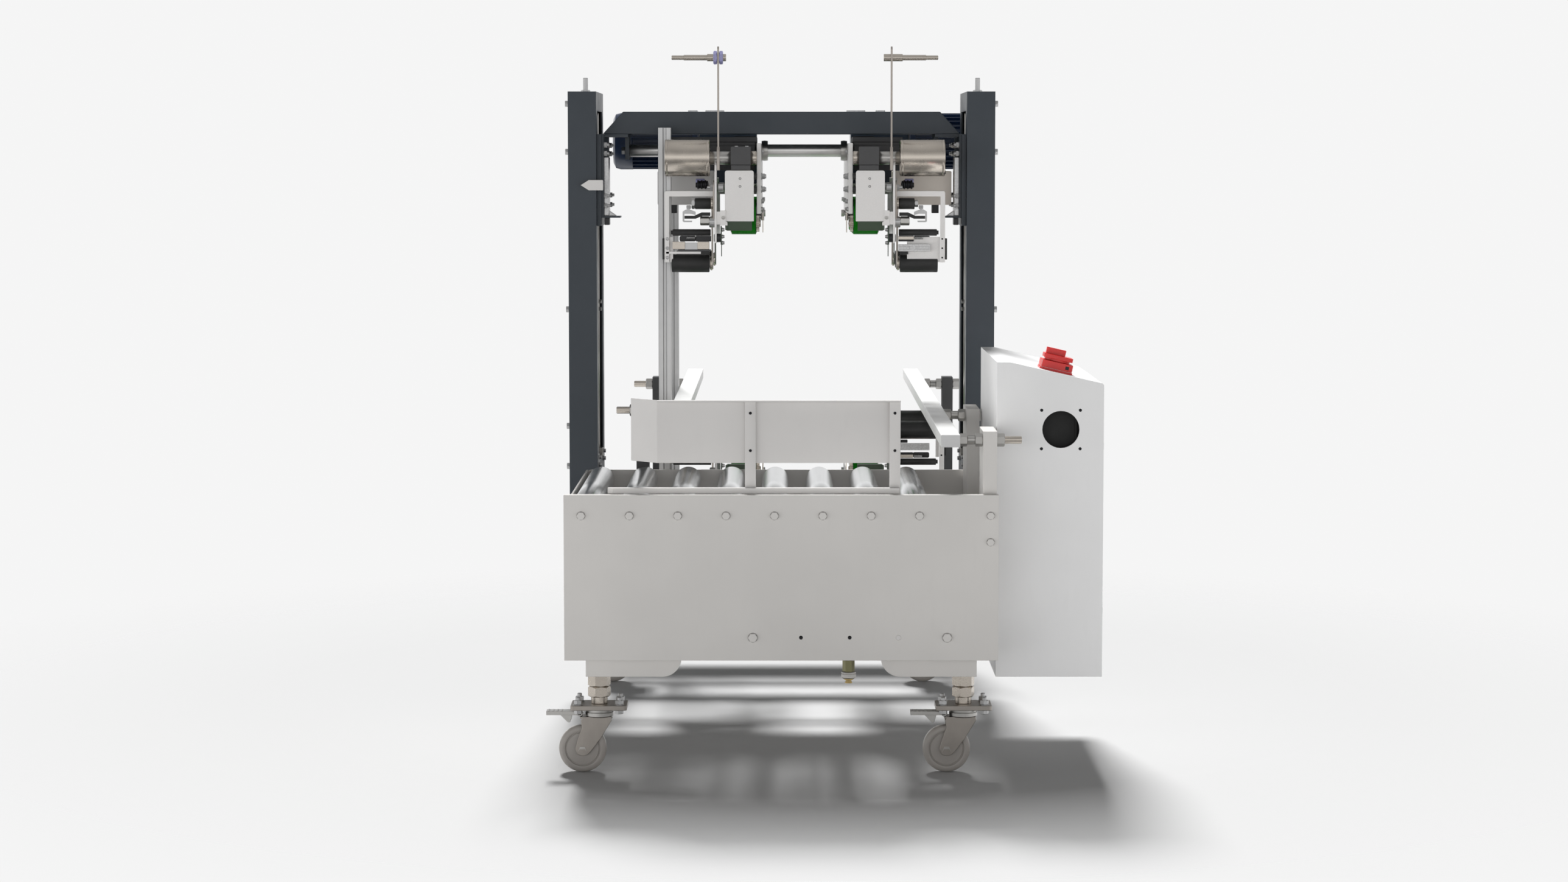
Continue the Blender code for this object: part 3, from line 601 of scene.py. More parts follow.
def roller_table():
    for node in ("front_panel", "left_table_side", "right_table_side", "rear_table_panel"):
        soften(node, GREY_PAINT, 1.2)
    bolts = Piece("panel_bolts", GREY_PAINT)
    shade_rings = Piece("panel_bolt_seams", BOLT_SHADE_GREY)
    for node in ROLLERS:
        panel_bolt(bolts, shade_rings, middle(span(node)[0]), ROLLER_Z)
    for z in (ROLLER_Z, ROLLER_Z - 55):
        panel_bolt(bolts, shade_rings, TABLE_X[1] - 17, z, 14)
    for x in (-59, 344):
        panel_bolt(bolts, shade_rings, x, LOW_BOLT_Z, 17)
    bolts.done(0.6)
    shade_rings.done()
    # The black fill in the two panel holes is painted shade for their shaded insides.
    dark = Piece("panel_hole_inserts", BLACK_OXIDE)
    for x in (41, 142):
        dark.lathe("y", x, LOW_BOLT_Z, [(0, 2.4), (2.2, 2), (3.9, 1.2), (3.9, 3.6), (5.4, 4.2),
            (5.4, 6.5), (0, 6.5)], 40)
    dark.done()
    plug = Piece("panel_plug", PLATE_PAINT)
    plug.rod("y", 243, LOW_BOLT_Z, 5.2, -1.2, 3, 32, 0.6).done()

    for node in ROLLERS:
        x_range, y_range, _ = span(node)
        x, radius = middle(x_range), (x_range[1] - x_range[0]) / 2
        front, back = y_range
        Piece(f"{node}_tube", CHROME, node).lathe(
            "y", x, ROLLER_Z, [(radius - 1.4, front), (radius, front + 1.4), (radius, back - 1.4),
            (radius - 1.4, back), (radius - 3, back), (radius - 3, front)],
            96).done(replaces=(node,))
        caps = Piece(f"{node}_bearings", ZINC, node)
        for face, inward in ((front + 1.5, 1), (back - 1.5, -1)):
            caps.lathe("y", x, ROLLER_Z, [(9, face + inward * 8), (9, face), (13, face),
                (14, face + inward * 1.6), (22, face + inward * 1.6), (23, face),
                (radius - 3.2, face), (radius - 3.2, face + inward * 8)], 48)
        caps.done()
        axle = Piece(f"{node}_axle", STEEL)
        axle.hexnut("y", x, ROLLER_Z, 11, 4.5, front + 12)
        axle.hexnut("y", x, ROLLER_Z, 11, back - 12, 799.5)
        axle.done()


def pusher():
    soften("pusher_plate", PLATE_PAINT, 0.9)
    soften("pusher_carriage", PLATE_PAINT, 0.9)
    top = span("pusher_carriage")[2][1]
    holes = Piece("pusher_screws", BLACK_OXIDE, "pusher")
    for x in (-64, 236):
        for z in (top - 23, top - 101):
            holes.lathe("y", x, z, solid((1.6, 41.3), (1.9, 40.9), (2.9, 40.9), (3.1, 41.4),
                (3.1, 46)), 32)
    holes.done()
    soften("pusher_cylinder", ALUMINIUM, 1.5)
    (x0, x1), (y0, y1), (z0, z1) = span("pusher_cylinder")
    rails = Piece("pusher_runners", STEEL)
    for x in (x0 - 26, x1 + 26):
        rails.rod("y", x, middle((z0, z1)), 8, y0, y1, 32)
    rails.done()
    ends = Piece("pusher_cylinder_ends", BLACK_PAINT)
    for start, end in ((y0 - 0.5, y0 + 22), (y1 - 22, y1 + 0.5)):
        ends.prism("y", rounded((x0 - 38, z0 - 3), (x1 + 38, z1 - 1), 5), start, end)
    ends.done(0.8)


# ---------------------------------------------------------------- casters

STEM_X = 382
WHEEL_TRAIL, WHEEL_Z = 35, 50
CASTER_Y = {"front": 80, "rear": 1290}
LEG_LOW = 207


def bracket_outline(sign, inset, low, high, inner, outer, corner=40):
    points = [(sign * (outer - inset), high - inset), (sign * (outer - inset), low + inset)]
    for i in range(13):
        angle = -pi / 2 - pi / 2 * i / 12
        points.append((sign * (inner + corner + (corner - inset) * cos(angle)),
            high + (corner - inset) * sin(angle)))
    points[-1] = (points[-1][0], high - inset)
    return points


def leg_bracket(side):
    sign = SIGN[side]
    node = f"{side}_leg_bracket"
    high = span(node)[2][1]
    low, sheet = LEG_LOW, 4
    tray = Piece(f"{node}_sheet", GREY_PAINT)
    ends = [sign * abs(x) for x in (208, 408)]
    outer = bracket_outline(sign, 0, low, high, abs(ends[0]), abs(ends[1]))
    inner = bracket_outline(sign, sheet, low, high, abs(ends[0]), abs(ends[1]))
    tray.prism("y", outer, 40, 40 + sheet)
    tray.ring("y", outer, inner, 40 + sheet - 0.01, 120)
    tray.done(0.8, replaces=(node,))


def caster_mount(side, place, y):
    """Threaded stem with two locked nuts, and the plate with its four bolts."""
    x = SIGN[side] * STEM_X
    name = f"{side}_{place}_caster"
    stem = Piece(f"{name}_stem", THREAD_Z)
    stem.rod("z", x, y, 12, 144, LEG_LOW, 40).done()
    nuts = Piece(f"{name}_nuts", NICKEL)
    nuts.rod("z", x, y, 17.5, 144.9, 160.5, 40, 1)
    nuts.hexnut("z", x, y, 42, 159.5, 181.5, 0.22)
    nuts.hexnut("z", x, y, 42, 182, LEG_LOW - 0.4, 0.22)
    nuts.done(0.5)
    Piece(f"{name}_plate", CASTER_STEEL).prism(
        "z", rounded((x - 59, y - 40), (x + 59, y + 40), 7), 135, 145).done(1)
    bolts = Piece(f"{name}_bolts", ZINC)
    for dx in (-43, 43):
        for dy in (-26, 26):
            at_x, at_y = x + dx, y + dy
            bolts.rod("z", at_x, at_y, 9.6, 145, 146.8, 32, 0.4)
            bolts.hexnut("z", at_x, at_y, 16, 146.8, 155.5, 0.3)
            bolts.rod("z", at_x, at_y, 5, 154, 162, 24, 1.2)
            bolts.hexnut("z", at_x, at_y, 16, 126.6, 134.6, 0.3)
    bolts.done(0.25)


def caster_fork(side, place, y):
    x = SIGN[side] * STEM_X
    node = f"{side}_{place}_fork"
    fork = Piece(f"{node}_steel", CASTER_STEEL, node)
    cheek = [(25, 118.5), (27, 112), (4, 74), (-17, 46), (-24, 38.5), (-35, 35.5), (-46, 39.5),
        (-50, 50), (-45, 70), (-36, 96), (-38, 110), (-33, 118.5)]
    cheek = [(x + dx, z) for dx, z in cheek]
    for near, far in ((-18.6, -15.2), (15.2, 18.6)):
        fork.prism("y", cheek, y + near, y + far)
    fork.prism("z", rounded((x - 40, y - 18.5), (x + 26, y + 18.5), 6), 114.5, 118.2)
    fork.done(0.8, replaces=(node,))
    Piece(f"{node}_raceway", STEEL, node).lathe(
        "z", x, y, solid((27, 117.8), (29.5, 120), (29.5, 127), (27.8, 128), (27.8, 129.4),
        (30, 130.2), (30, 133.6), (28.6, 134.5)), 64).done()
    axle_x = x - WHEEL_TRAIL
    axle = Piece(f"{node}_axle", STEEL, node)
    axle.rod("y", axle_x, WHEEL_Z, 5, y - 18, y + 18, 32)
    axle.hexnut("y", axle_x, WHEEL_Z, 13, y + 18.4, y + 24.5)
    axle.prism("y", [(axle_x - 9.5, 44), (axle_x - 5, 55.5), (axle_x + 5, 55.5),
        (axle_x + 9.5, 44), (axle_x + 5.5, 50.5), (axle_x - 5.5, 50.5)], y - 20.8, y - 18.2)
    axle.done(0.5)


def caster_wheel(side, place, y):
    node = f"{side}_{place}_wheel"
    x = SIGN[side] * STEM_X - WHEEL_TRAIL
    wheel = Piece(f"{node}_tyre", WHEEL_GREY, node)
    near, groove = y - 13, 3
    profile = [(6.8, near + 1), (10, near + 0.2), (14, near + 0.2), (15, near + 1.4),
        (33.5, near + 1.4), (34.4, near + groove), (36.2, near + groove), (37, near + 0.6),
        (38.5, near), (43, near), (47.5, near + 1.6), (49.6, near + 5), (50, near + 9)]
    mirrored = [(radius, 2 * y - along) for radius, along in reversed(profile)]
    wheel.lathe("y", x, WHEEL_Z, profile + mirrored, 96)
    wheel.done(replaces=(node,))


def brake_pedal(side, y):
    node = f"{side}_brake_pedal"
    x = SIGN[side] * STEM_X
    pedal = Piece(f"{node}_steel", STEEL, node)
    pedal.box((x - 111, x - 37), (y - 14.5, y + 14.5), (121.5, 129.5))
    pedal.prism("y", [(x - 82, 122), (x - 66, 106), (x - 61, 106), (x - 56, 122)], y - 12, y - 9)
    pedal.prism("y", [(x - 82, 122), (x - 66, 106), (x - 61, 106), (x - 56, 122)], y + 9, y + 12)
    pedal.rod("y", x - 40, 125, 6.5, y - 14.5, y + 14.5, 32)
    for step in range(4):
        pedal.box((x - 108 + 9 * step, x - 104 + 9 * step), (y - 12.5, y + 12.5), (129, 130.3))
    pedal.done(0.7, replaces=(node,))


def casters():
    for side in SIDES:
        leg_bracket(side)
        for place, y in CASTER_Y.items():
            caster_mount(side, place, y)
            caster_fork(side, place, y)
            caster_wheel(side, place, y)
        brake_pedal(side, CASTER_Y["front"])


# ---------------------------------------------------------------- main frame, columns, crosshead

SHAFT_Y, SHAFT_Z = (middle(pair) for pair in span("cross_shaft")[1:])
MIRROR_Z = 846.5
FRAME_OUT = 431
FRAME_Y, FRAME_Z = (806, 1800), (250, 470)
POSTS = (((-335, -307), (808, 880)), ((-335, -307), (1750, 1798)), ((415, 443), (1750, 1798)))


def main_frame():
    sheet = 4
    skin = Piece("main_frame_plates", BLUE_PAINT)
    y0, y1 = FRAME_Y
    for sign in SIGN.values():
        inner, outer = sorted((sign * (FRAME_OUT - sheet), sign * FRAME_OUT))
        skin.box((inner, outer), FRAME_Y, FRAME_Z)
        lip = sorted((sign * (FRAME_OUT - 26), sign * FRAME_OUT))
        skin.box(lip, (y0 + 60, y1 - 60), (FRAME_Z[1] - sheet, FRAME_Z[1]))
    for first in (y0, y1 - sheet):
        skin.box((-FRAME_OUT, FRAME_OUT), (first, first + sheet), FRAME_Z)
    for centre, half in ((960, 20), (1290, 50), (1500, 20)):
        skin.box((-FRAME_OUT, FRAME_OUT), (centre - half, centre + half), (FRAME_Z[0],
            FRAME_Z[0] + 6))
    for sign in SIGN.values():
        skin.box((sign * STEM_X - 30, sign * STEM_X + 30), (CASTER_Y["rear"] - 30,
            CASTER_Y["rear"] + 30), (LEG_LOW, FRAME_Z[0] + 1))
    skin.done(1, replaces=("main_frame",))
    posts = Piece("rear_rail_posts", DARK_GREY, slot="grey_paint")
    for post_x, post_y in POSTS:
        posts.box(post_x, post_y, (400, 722))
    posts.done(1.2)
    Piece("lower_shaft", SHAFT_CHROME).rod(
        "x", SHAFT_Y, 2 * MIRROR_Z - SHAFT_Z, 15, -FRAME_OUT + 4, FRAME_OUT - 4, 64).done()
    bolts = Piece("main_frame_bolts", ZINC)
    for sign in SIGN.values():
        for y in (870, 1290, 1740):
            for z in (FRAME_Z[0] + 35, FRAME_Z[1] - 35):
                face = sign * FRAME_OUT
                bolts.rod("x", y, z, 8, face, face + sign * 1.4, 32, 0.3)
                bolts.hexnut("x", y, z, 13, face + sign * 1.4, face + sign * 7)
    bolts.done(0.25)


def hex_bolt(piece, axis, u, v, face, out, flats=13, turn=0, tail=0):
    """Bolt head on a washer; a tail shows the bolt's end beyond a nut."""
    piece.rod(axis, u, v, flats * 0.62, face, face + out * 1.5, 32, 0.3)
    piece.hexnut(axis, u, v, flats, face + out * 1.5, face + out * (1.5 + flats * 0.5), turn)
    if tail:
        piece.rod(axis, u, v, flats * 0.3, face, face + out * (1.5 + flats * 0.5 + tail), 24)


GUIDE_CLAMP_Z = (933, 572)


def column(side):
    sign = SIGN[side]
    node = f"{side}_column"
    soften(node, BLUE_PAINT, 2.2)
    (x0, x1), (y0, y1), (_, top) = span(node)
    inner, outer = (x1, x0) if side == "left" else (x0, x1)
    screw_x, guides_y = sign * 465, (y0 + 62, y1 - 62)
    bright = Piece(f"{node}_guides", STEEL, slot="chrome")
    for y in guides_y:
        bright.rod("z", inner + sign * 13, y, 6, 571, 1395, 40)
    bright.done()
    screw = Piece(f"{node}_lead_screw", THREAD_Z)
    screw.rod("z", screw_x, SHAFT_Y, 7.9, 300, top - 8, 32).done()
    stud = Piece(f"{node}_stud", ZINC)
    stud.rod("z", screw_x, SHAFT_Y, 6, top - 8, top + 35, 32, 1.2)
    stud.rod("z", screw_x, SHAFT_Y, 13.5, top, top + 2, 40, 0.4)
    stud.hexnut("z", screw_x, SHAFT_Y, 19, top + 2, top + 6.5)
    stud.done(0.3)

    def clamp_face(z):
        """The upper clamps sit deep enough in the slot for the carriage to pass them."""
        return inner + sign * (8.5 if z > 800 else 0)

    bolts = Piece(f"{node}_bolts", ZINC)
    for z in (1413, 1301, 932, 657, 562):
        hex_bolt(bolts, "x", y0 + 40, z, outer, sign, 14)
        hex_bolt(bolts, "x", y1 - 40, z, outer, sign, 14)
    for z in GUIDE_CLAMP_Z:
        for y in guides_y:
            face = clamp_face(z) - sign * 0.5
            hex_bolt(bolts, "x", y, z + 9, face, -sign, 9)
            hex_bolt(bolts, "x", y, z - 9, face, -sign, 9)
    bolts.done(0.25)
    clamps = Piece(f"{node}_guide_clamps", STEEL)
    for z in GUIDE_CLAMP_Z:
        for y in guides_y:
            clamps.box((clamp_face(z), inner + sign * 22), (y - 11, y + 11), (z - 17, z + 17))
    clamps.done(1)


def carriage(side):
    sign = SIGN[side]
    node = f"{side}_carriage"
    soften(node, BLUE_PAINT, 0.8)
    bolts = Piece(f"{node}_bolts", ZINC, "crosshead")
    face = sign * 415.9
    for z in (1317, 1297, 1198, 1175):
        for y in (975, 1000, 1180, 1205):
            hex_bolt(bolts, "x", y, z, face, -sign, 12, tail=5)
    hex_bolt(bolts, "x", SHAFT_Y, SHAFT_Z, sign * 370, sign, 17)
    bolts.done(0.25)
    pad = Piece(f"{node}_slide_pad", GALVANISED, "crosshead")
    pad.box((sign * 405, sign * 415.7), (975, 1040), (1153, 1288))
    pad.prism("y", [(sign * 405, 1151.2), (sign * 388, 1151.2), (sign * 405, 1163)], 985, 1025)
    pad.done(0.8)
    Piece(f"{node}_lower_block", BLACK_PAINT, "crosshead").box(
        (sign * 404, sign * 415), (975, 1020), (1130, 1146.7)).done(0.8)
    if side == "left":
        arrow = Piece("height_pointer", PLATE_PAINT, "crosshead")
        arrow.prism("y", [(-468, 1223.5), (-449, 1211.5), (-416, 1211.5), (-416, 1235.5),
            (-449, 1235.5)], 928, 931)
        arrow.box((-424, -416.5), (930.5, 956), (1212.5, 1234.5))
        arrow.done(0.7)


def crosshead():
    soften("crossbeam", BLUE_PAINT, 1.4)
    (x0, x1), _, _ = span("cross_shaft")
    Piece("cross_shaft_bar", SHAFT_CHROME, "crosshead").rod(
        "x", SHAFT_Y, SHAFT_Z, 15, x0, x1, 96, 1.2).done(replaces=("cross_shaft",))
    _, (y0, _), (_, top) = span("crossbeam")
    pads = Piece("crossbeam_pads", GALVANISED, "crosshead")
    for x, half in ((-210, 11), (234, 11), (-158, 22), (176, 22)):
        pads.prism("z", rounded((x - half, y0 + 60), (x + half, y0 + 120), 3), top, top + 4)
    pads.done(0.6)
    for side in SIDES:
        column(side)
        carriage(side)


# ---------------------------------------------------------------- guide rails and posts

ROD_Z = 703
ROD_PLACES = {"left": (862, 1770), "right": (40, 715, 1770)}
POST_FACES = {"left": (-307, -335), "right": (418, 446)}
REAR_POST_FACES = {"left": (-307, -335), "right": (415, 443)}


def guide_rail(side):
    sign = SIGN[side]
    node = f"{side}_guide_rail"
    (x0, x1), (y0, y1), _ = span(node)
    rail_x = (-255, -214) if side == "left" else (330, 370)
    back = rail_x[1] if side == "right" else rail_x[0]
    Piece(f"{node}_tube", RAIL_WHITE, f"{side}_rail").box(
        rail_x, (y0 + 2, y1 - 2), (690, 716)).done(1.6, 3, replaces=(node,))
    caps = Piece(f"{node}_caps", CAP_GREY, f"{side}_rail")
    for start, end in ((y0, y0 + 3), (y1 - 3, y1)):
        caps.box((rail_x[0] + 0.8, rail_x[1] - 0.8), (start, end), (690.8, 715.2))
    caps.done(0.8)
    end_x = x1 if side == "right" else x0
    rods = Piece(f"{node}_rods", NICKEL, f"{side}_rail")
    moving = Piece(f"{node}_nuts", STEEL, f"{side}_rail")
    fixed = Piece(f"{side}_post_nuts", STEEL)
    for y in ROD_PLACES[side]:
        rods.rod("x", y, ROD_Z, 8, back - sign, end_x, 48, 1.5)
        near, far = (POST_FACES if y < 1000 else REAR_POST_FACES)[side]
        reach = abs(near - back)
        thick = reach / 3
        moving.hexnut("x", y, ROD_Z, 24, back, back + sign * thick, pi / 2)
        if side == "right":
            moving_end = back + sign * thick
            fixed.hexnut("x", y, ROD_Z, 24, near - sign * thick, near, pi / 2)
            fixed.rod("x", y, ROD_Z, 9.5, moving_end + sign * 0.3, near - sign * thick, 32, 0.5,
                bore=8.3)
        else:
            fixed.hexnut("x", y, ROD_Z, 24, near, near - sign * 15, pi / 2)
        fixed.hexnut("x", y, ROD_Z, 24, far + sign * 0.3, far + sign * 17.5, pi / 2)
    rods.done()
    moving.done(0.4)
    fixed.done(0.4)


def slotted_profile(x, y, size=30):
    """Square aluminium extrusion with a T slot in each face."""
    half, gap, lip, web, core = size / 2, 4.1, 2.2, 8.2, 6
    face = [(half, 0.8 - half), (half, -gap), (half - lip, -gap), (half - lip, -web), (core, -3)]
    face += [(u, -v) for u, v in reversed(face)]
    outline = []
    for c, s in ((1, 0), (0, 1), (-1, 0), (0, -1)):
        outline += [(x + u * c - v * s, y + u * s + v * c) for u, v in face]
    return outline


def profile_posts():
    (x0, x1), (y0, y1), (z0, z1) = span("aluminium_post")
    Piece("aluminium_post_profile", ALUMINIUM).prism(
        "z", slotted_profile(middle((x0, x1)), middle((y0, y1))), z0, z1).done(0.3, 1,
        replaces=("aluminium_post",))
    Piece("rear_post_profile", ALUMINIUM).prism(
        "z", slotted_profile(middle((x0, x1)), 1500), z0, z1 - 30).done(0.3, 1)


# ---------------------------------------------------------------- tape units

UNIT_X = {"left": -52.5, "right": 160.7}
HUB_Y, HUB_Z = (middle(pair) for pair in span("upper_left_hub")[1:])
BELT_Z = 1150
BELT_ENDS = (945, 1480)
PIN_Z = 1517.5


class Unit:
    """One of the four tape units, drawn in S (outwards from its side plate), Y and the upper Z."""

    def __init__(self, level, side):
        self.level, self.side = level, side
        self.name = f"{level}_{side}"
        self.body = f"{self.name}_unit"
        self.sign = SIGN[side]
        self.up = 1 if level == "upper" else -1

    def x(self, s):
        return UNIT_X[self.side] + self.sign * s

    def z(self, z):
        return z if self.level == "upper" else 2 * MIRROR_Z - z

    def piece(self, name, material, body=None, slot=None):
        return UnitPiece(self, name, material, body or self.body, slot)


class UnitPiece(Piece):
    """A piece whose shapes are given in the unit's own S, Y, Z."""

    def __init__(self, unit, name, material, body, slot):
        super().__init__(f"{unit.name}_{name}", material, body, slot)
        self.unit = unit

    def block(self, s, y, z):
        unit = self.unit
        return self.box(map(unit.x, s), y, map(unit.z, z))

    def plate(self, outline, s):
        """Outline in (Y, Z), extruded across."""
        unit = self.unit
        return self.prism("x", [(y, unit.z(z)) for y, z in outline], unit.x(s[0]), unit.x(s[1]))

    def front(self, outline, y):
        """Outline in (S, Z), extruded in depth."""
        unit = self.unit
        return self.prism("y", [(unit.x(s), unit.z(z)) for s, z in outline], *y)

    def turned(self, y, z, profile, sides=48):
        unit = self.unit
        return self.lathe("x", y, unit.z(z), [(radius, unit.x(s)) for radius, s in profile],
            sides)

    def bar(self, y, z, radius, s, sides=40, chamfer=0.8):
        unit = self.unit
        return self.rod("x", y, unit.z(z), radius, unit.x(s[0]), unit.x(s[1]), sides, chamfer)

    def nut(self, y, z, flats, s, turn=0):
        unit = self.unit
        return self.hexnut("x", y, unit.z(z), flats, unit.x(s[0]), unit.x(s[1]), turn)


def unit_side_plate(unit):
    plate = unit.piece("side_plate", UNIT_PAINT)
    outline = [(905, 1157), (1520, 1157), (1520, 1300), (1499, 1321), (905, 1321)]
    plate.plate(outline, (-5, 5))
    plate.done(1.2, replaces=(f"{unit.name}_frame",))
    screws = unit.piece("side_plate_screws", ZINC)
    spacers = unit.piece("cover_spacers", BLACK_RUBBER)
    for z in (1244, 1214):
        screws.bar(922, z, 8, (-5, -7.2), 32, 0.3)
        screws.nut(922, z, 13, (-7.2, -13.8))
        screws.bar(922, z, 5, (-13, -16.8), 24)
        spacers.bar(890, z, 7.5, (4, 14), 32)
    for y in (1000, 1180, 1300, 1480):
        for z in (1300, 1185):
            screws.bar(y, z, 5.5, (-5, -6.2), 32, 0.3)
            screws.nut(y, z, 9.5, (-6.2, -11))
    screws.bar(925, 1168, 5.5, (-5, -9), 32)
    screws.nut(925, 1168, 8, (-9, -13))
    screws.done(0.25)
    spacers.done()


def unit_drive(unit):
    """Shaft carrier, belt pulleys, slider bed and the toothed wheel beside the plate."""
    unit.piece("shaft_carrier", DARK_GREY, slot="grey_paint").front(
        rounded((5, 1268), (60, 1338), 5), (1055, 1125)).done(1.2)
    collars = unit.piece("shaft_collars", STEEL)
    for s in ((-5.2, -20), (60, 72)):
        collars.turned(SHAFT_Y, SHAFT_Z, [(15.2, s[0]), (23, s[0]), (24, middle(s)), (23, s[1]),
            (15.2, s[1])], 64)
    collars.done(0.4)
    bed = unit.piece("slider_bed", ALUMINIUM)
    bed.block((5, 10), (985, 1440), (1122, 1178))
    for z in ((1122, 1128), (1172, 1178)):
        bed.block((5, 60), (985, 1440), z)
    bed.done(0.8)
    pulleys = unit.piece("pulleys", ALUMINIUM)
    for y in BELT_ENDS:
        pulleys.turned(y, BELT_Z, [(7, 12), (36.9, 12), (36.9, 13.4), (35.6, 15.5), (36.2, 39),
            (35.6, 62.5), (36.9, 64.6), (36.9, 66), (30, 66), (28, 62), (13, 62), (12, 66),
            (7, 66)], 64)
    pulleys.done()
    axles = unit.piece("pulley_axles", STEEL)
    for y in BELT_ENDS:
        axles.bar(y, BELT_Z, 6.8, (-8, 72), 40)
        axles.nut(y, BELT_Z, 17, (-5, -12))
    axles.done(0.3)
    toothed = unit.piece("toothed_wheel", NICKEL)
    teeth, s0, s1 = 26, -1, 6
    outline = []
    for i in range(teeth):
        for share, radius in ((0, 17.5), (0.3, 19.6), (0.55, 19.6), (0.8, 17.5)):
            angle = 2 * pi * (i + share) / teeth
            outline.append((925 + radius * cos(angle), 1135 + radius * sin(angle)))
    toothed.plate(outline, (s0, s1))
    toothed.turned(925, 1135, solid((8, s0 - 3), (9, s0 - 1), (9, s1 + 4)), 40)
    toothed.done(0.3)
    unit.piece("toothed_wheel_guard", NICKEL).plate(
        [(908, 1114), (942, 1114), (942, 1160), (908, 1160)], (-10.2, -8.2)).done(0.5)


def unit_belt(unit):
    """Flat drive belt: a closed loop with rounded edges and moulded cross ribs inside."""
    node = f"{unit.name}_belt"
    belt = unit.piece("belt_loop", GREEN_BELT)
    outer = pill(BELT_ENDS[0], unit.z(BELT_Z), BELT_ENDS[1], unit.z(BELT_Z), 41, steps=40)
    inner = pill(BELT_ENDS[0], unit.z(BELT_Z), BELT_ENDS[1], unit.z(BELT_Z), 37, steps=40)
    belt.ring("x", outer, inner, unit.x(7), unit.x(64))
    belt.done(1.2, 3, replaces=(node,), angle=50)


def unit_cover(unit):
    """Pressed cover in front of the belt's nose, with two holes and a slanted lower lip."""
    low, high, left, right = 1140.3, 1257.9, 11.5, 78.5
    cover = unit.piece("belt_cover", UNIT_PAINT)
    cover.front(rounded((left, low), (right, high), 5.5, (0, 0, 1, 1)), (872, 875))
    for s in ((left, left + 3), (right - 3, right)):
        cover.block(s, (872.5, 901), (low, high - 5))
    cover.block((left + 4, right - 4), (872.5, 901), (high - 3, high))
    cover.done(0.9)
    # The lip and foot carry a painted reflection of the belt and painted shade in their dark green.
    unit.piece("cover_lip", BELT_REFLECTION_SHADE).plate(
        [(873, low - 0.2), (901, low - 0.2), (901, 1118.5), (884, 1118.5)],
        (left + 4.5, right - 4.5)).done(0.8)
    unit.piece("cover_foot", BELT_REFLECTION_SHADE).front(
        [(left + 62, 1140), (left + 66.5, 1140), (left + 66.5, 1121), (left + 62, 1118.5)],
        (878, 893)).done(0.5)
    holes = unit.piece("cover_screws", BLACK_PAINT)
    for z in (1239, 1221):
        centre = unit.x(43.5)
        holes.lathe("y", centre, unit.z(z), solid((1.4, 873), (1.8, 871.7), (2.7, 871.5),
            (2.9, 872.4), (2.9, 876)), 32)
    holes.done()


def unit_spindle(unit):
    """Tape spindle with its clamp block and hub."""
    unit.piece("spindle_tube", STEEL, slot="chrome").bar(
        HUB_Y, HUB_Z, 15.6, (64, 113), 64, 0.6).done()
    unit.piece("spindle_collar", NICKEL).turned(
        HUB_Y, HUB_Z, solid((14.6, 5), (14.6, 6), (16.4, 7), (16.4, 19), (15.4, 20)), 64).done()
    clamp = unit.piece("spindle_clamp", DARK_GREY)
    clamp.front(rounded((18.5, 1271), (65, 1312.6), 3, (0, 0, 1, 1)), (864.5, 915))
    clamp.front([(19.5, 1259), (64, 1259), (64, 1270.3), (19.5, 1270.3)], (866, 915))
    clamp.done(0.9)
    screws = unit.piece("clamp_screws", ZINC)
    if unit.side == "right":
        for s in (28, 52.5):
            x = unit.x(s)
            screws.rod("z", x, 872, 5.4, unit.z(1271), unit.z(1273.5), 32, 0.3)
            screws.hexnut("z", x, 872, 8.5, unit.z(1273.5), unit.z(1278))
    else:
        for s in (28, 52.5):
            x = unit.x(s)
            screws.rod("z", x, 895, 5, unit.z(1312.4), unit.z(1314.5), 32, 0.3)
    screws.done(0.2)
    body = f"upper_{unit.side}_hub" if unit.level == "upper" else unit.body
    hub = unit.piece("hub_drum", NICKEL, body)
    s0, s1 = 114, 217
    hub.turned(HUB_Y, HUB_Z, [(13, s0 + 3), (38, s0 + 3), (39.5, s0), (41.6, s0),
        (42.5, s0 + 0.9), (42.5, s0 + 6), (42.1, s0 + 6.6), (42.5, s0 + 7.2), (42.5, s1 - 7.2),
        (42.1, s1 - 6.6), (42.5, s1 - 6), (42.5, s1 - 0.9), (41.6, s1), (39.5, s1),
        (38.5, s1 - 4), (13, s1 - 4)], 128)
    hub.done(replaces=(f"upper_{unit.side}_hub",) if unit.level == "upper" else ())
    unit.piece("hub_cap", STEEL).turned(
        HUB_Y, HUB_Z, solid((12, 111.5), (12, 214.5), (11, 215.8)), 48).done()


def unit_reel_arm(unit):
    """Tall flat arm with a stepped pin that carries the tape reel."""
    arm = unit.piece("reel_arm", NICKEL_PLATE)
    arm.plate([(878, 1292), (902, 1292), (902, 1537), (896, 1543), (884, 1543), (878, 1537)],
        (91.8, 95.8))
    arm.plate([(874, 1258), (906, 1258), (906, 1302), (902, 1312), (878, 1312), (874, 1302)],
        (90.4, 97.2))
    arm.done(0.7)
    unit.piece("reel_pin", NICKEL).turned(
        HUB_Y, PIN_Z, solid((7.6, 75.5), (8.3, 76.3), (8.3, 119), (6.2, 119.6), (6.2, 173),
        (5, 173.6), (5, 200.4), (4.2, 201.4)), 64).done(0.2)
    if unit.side == "left":
        nuts = unit.piece("reel_nuts", LILAC)
        nuts.nut(HUB_Y, PIN_Z, 27, (82.6, 91.4), pi / 2)
        nuts.nut(HUB_Y, PIN_Z, 27, (96.2, 105), pi / 2)
        nuts.done(0.5)


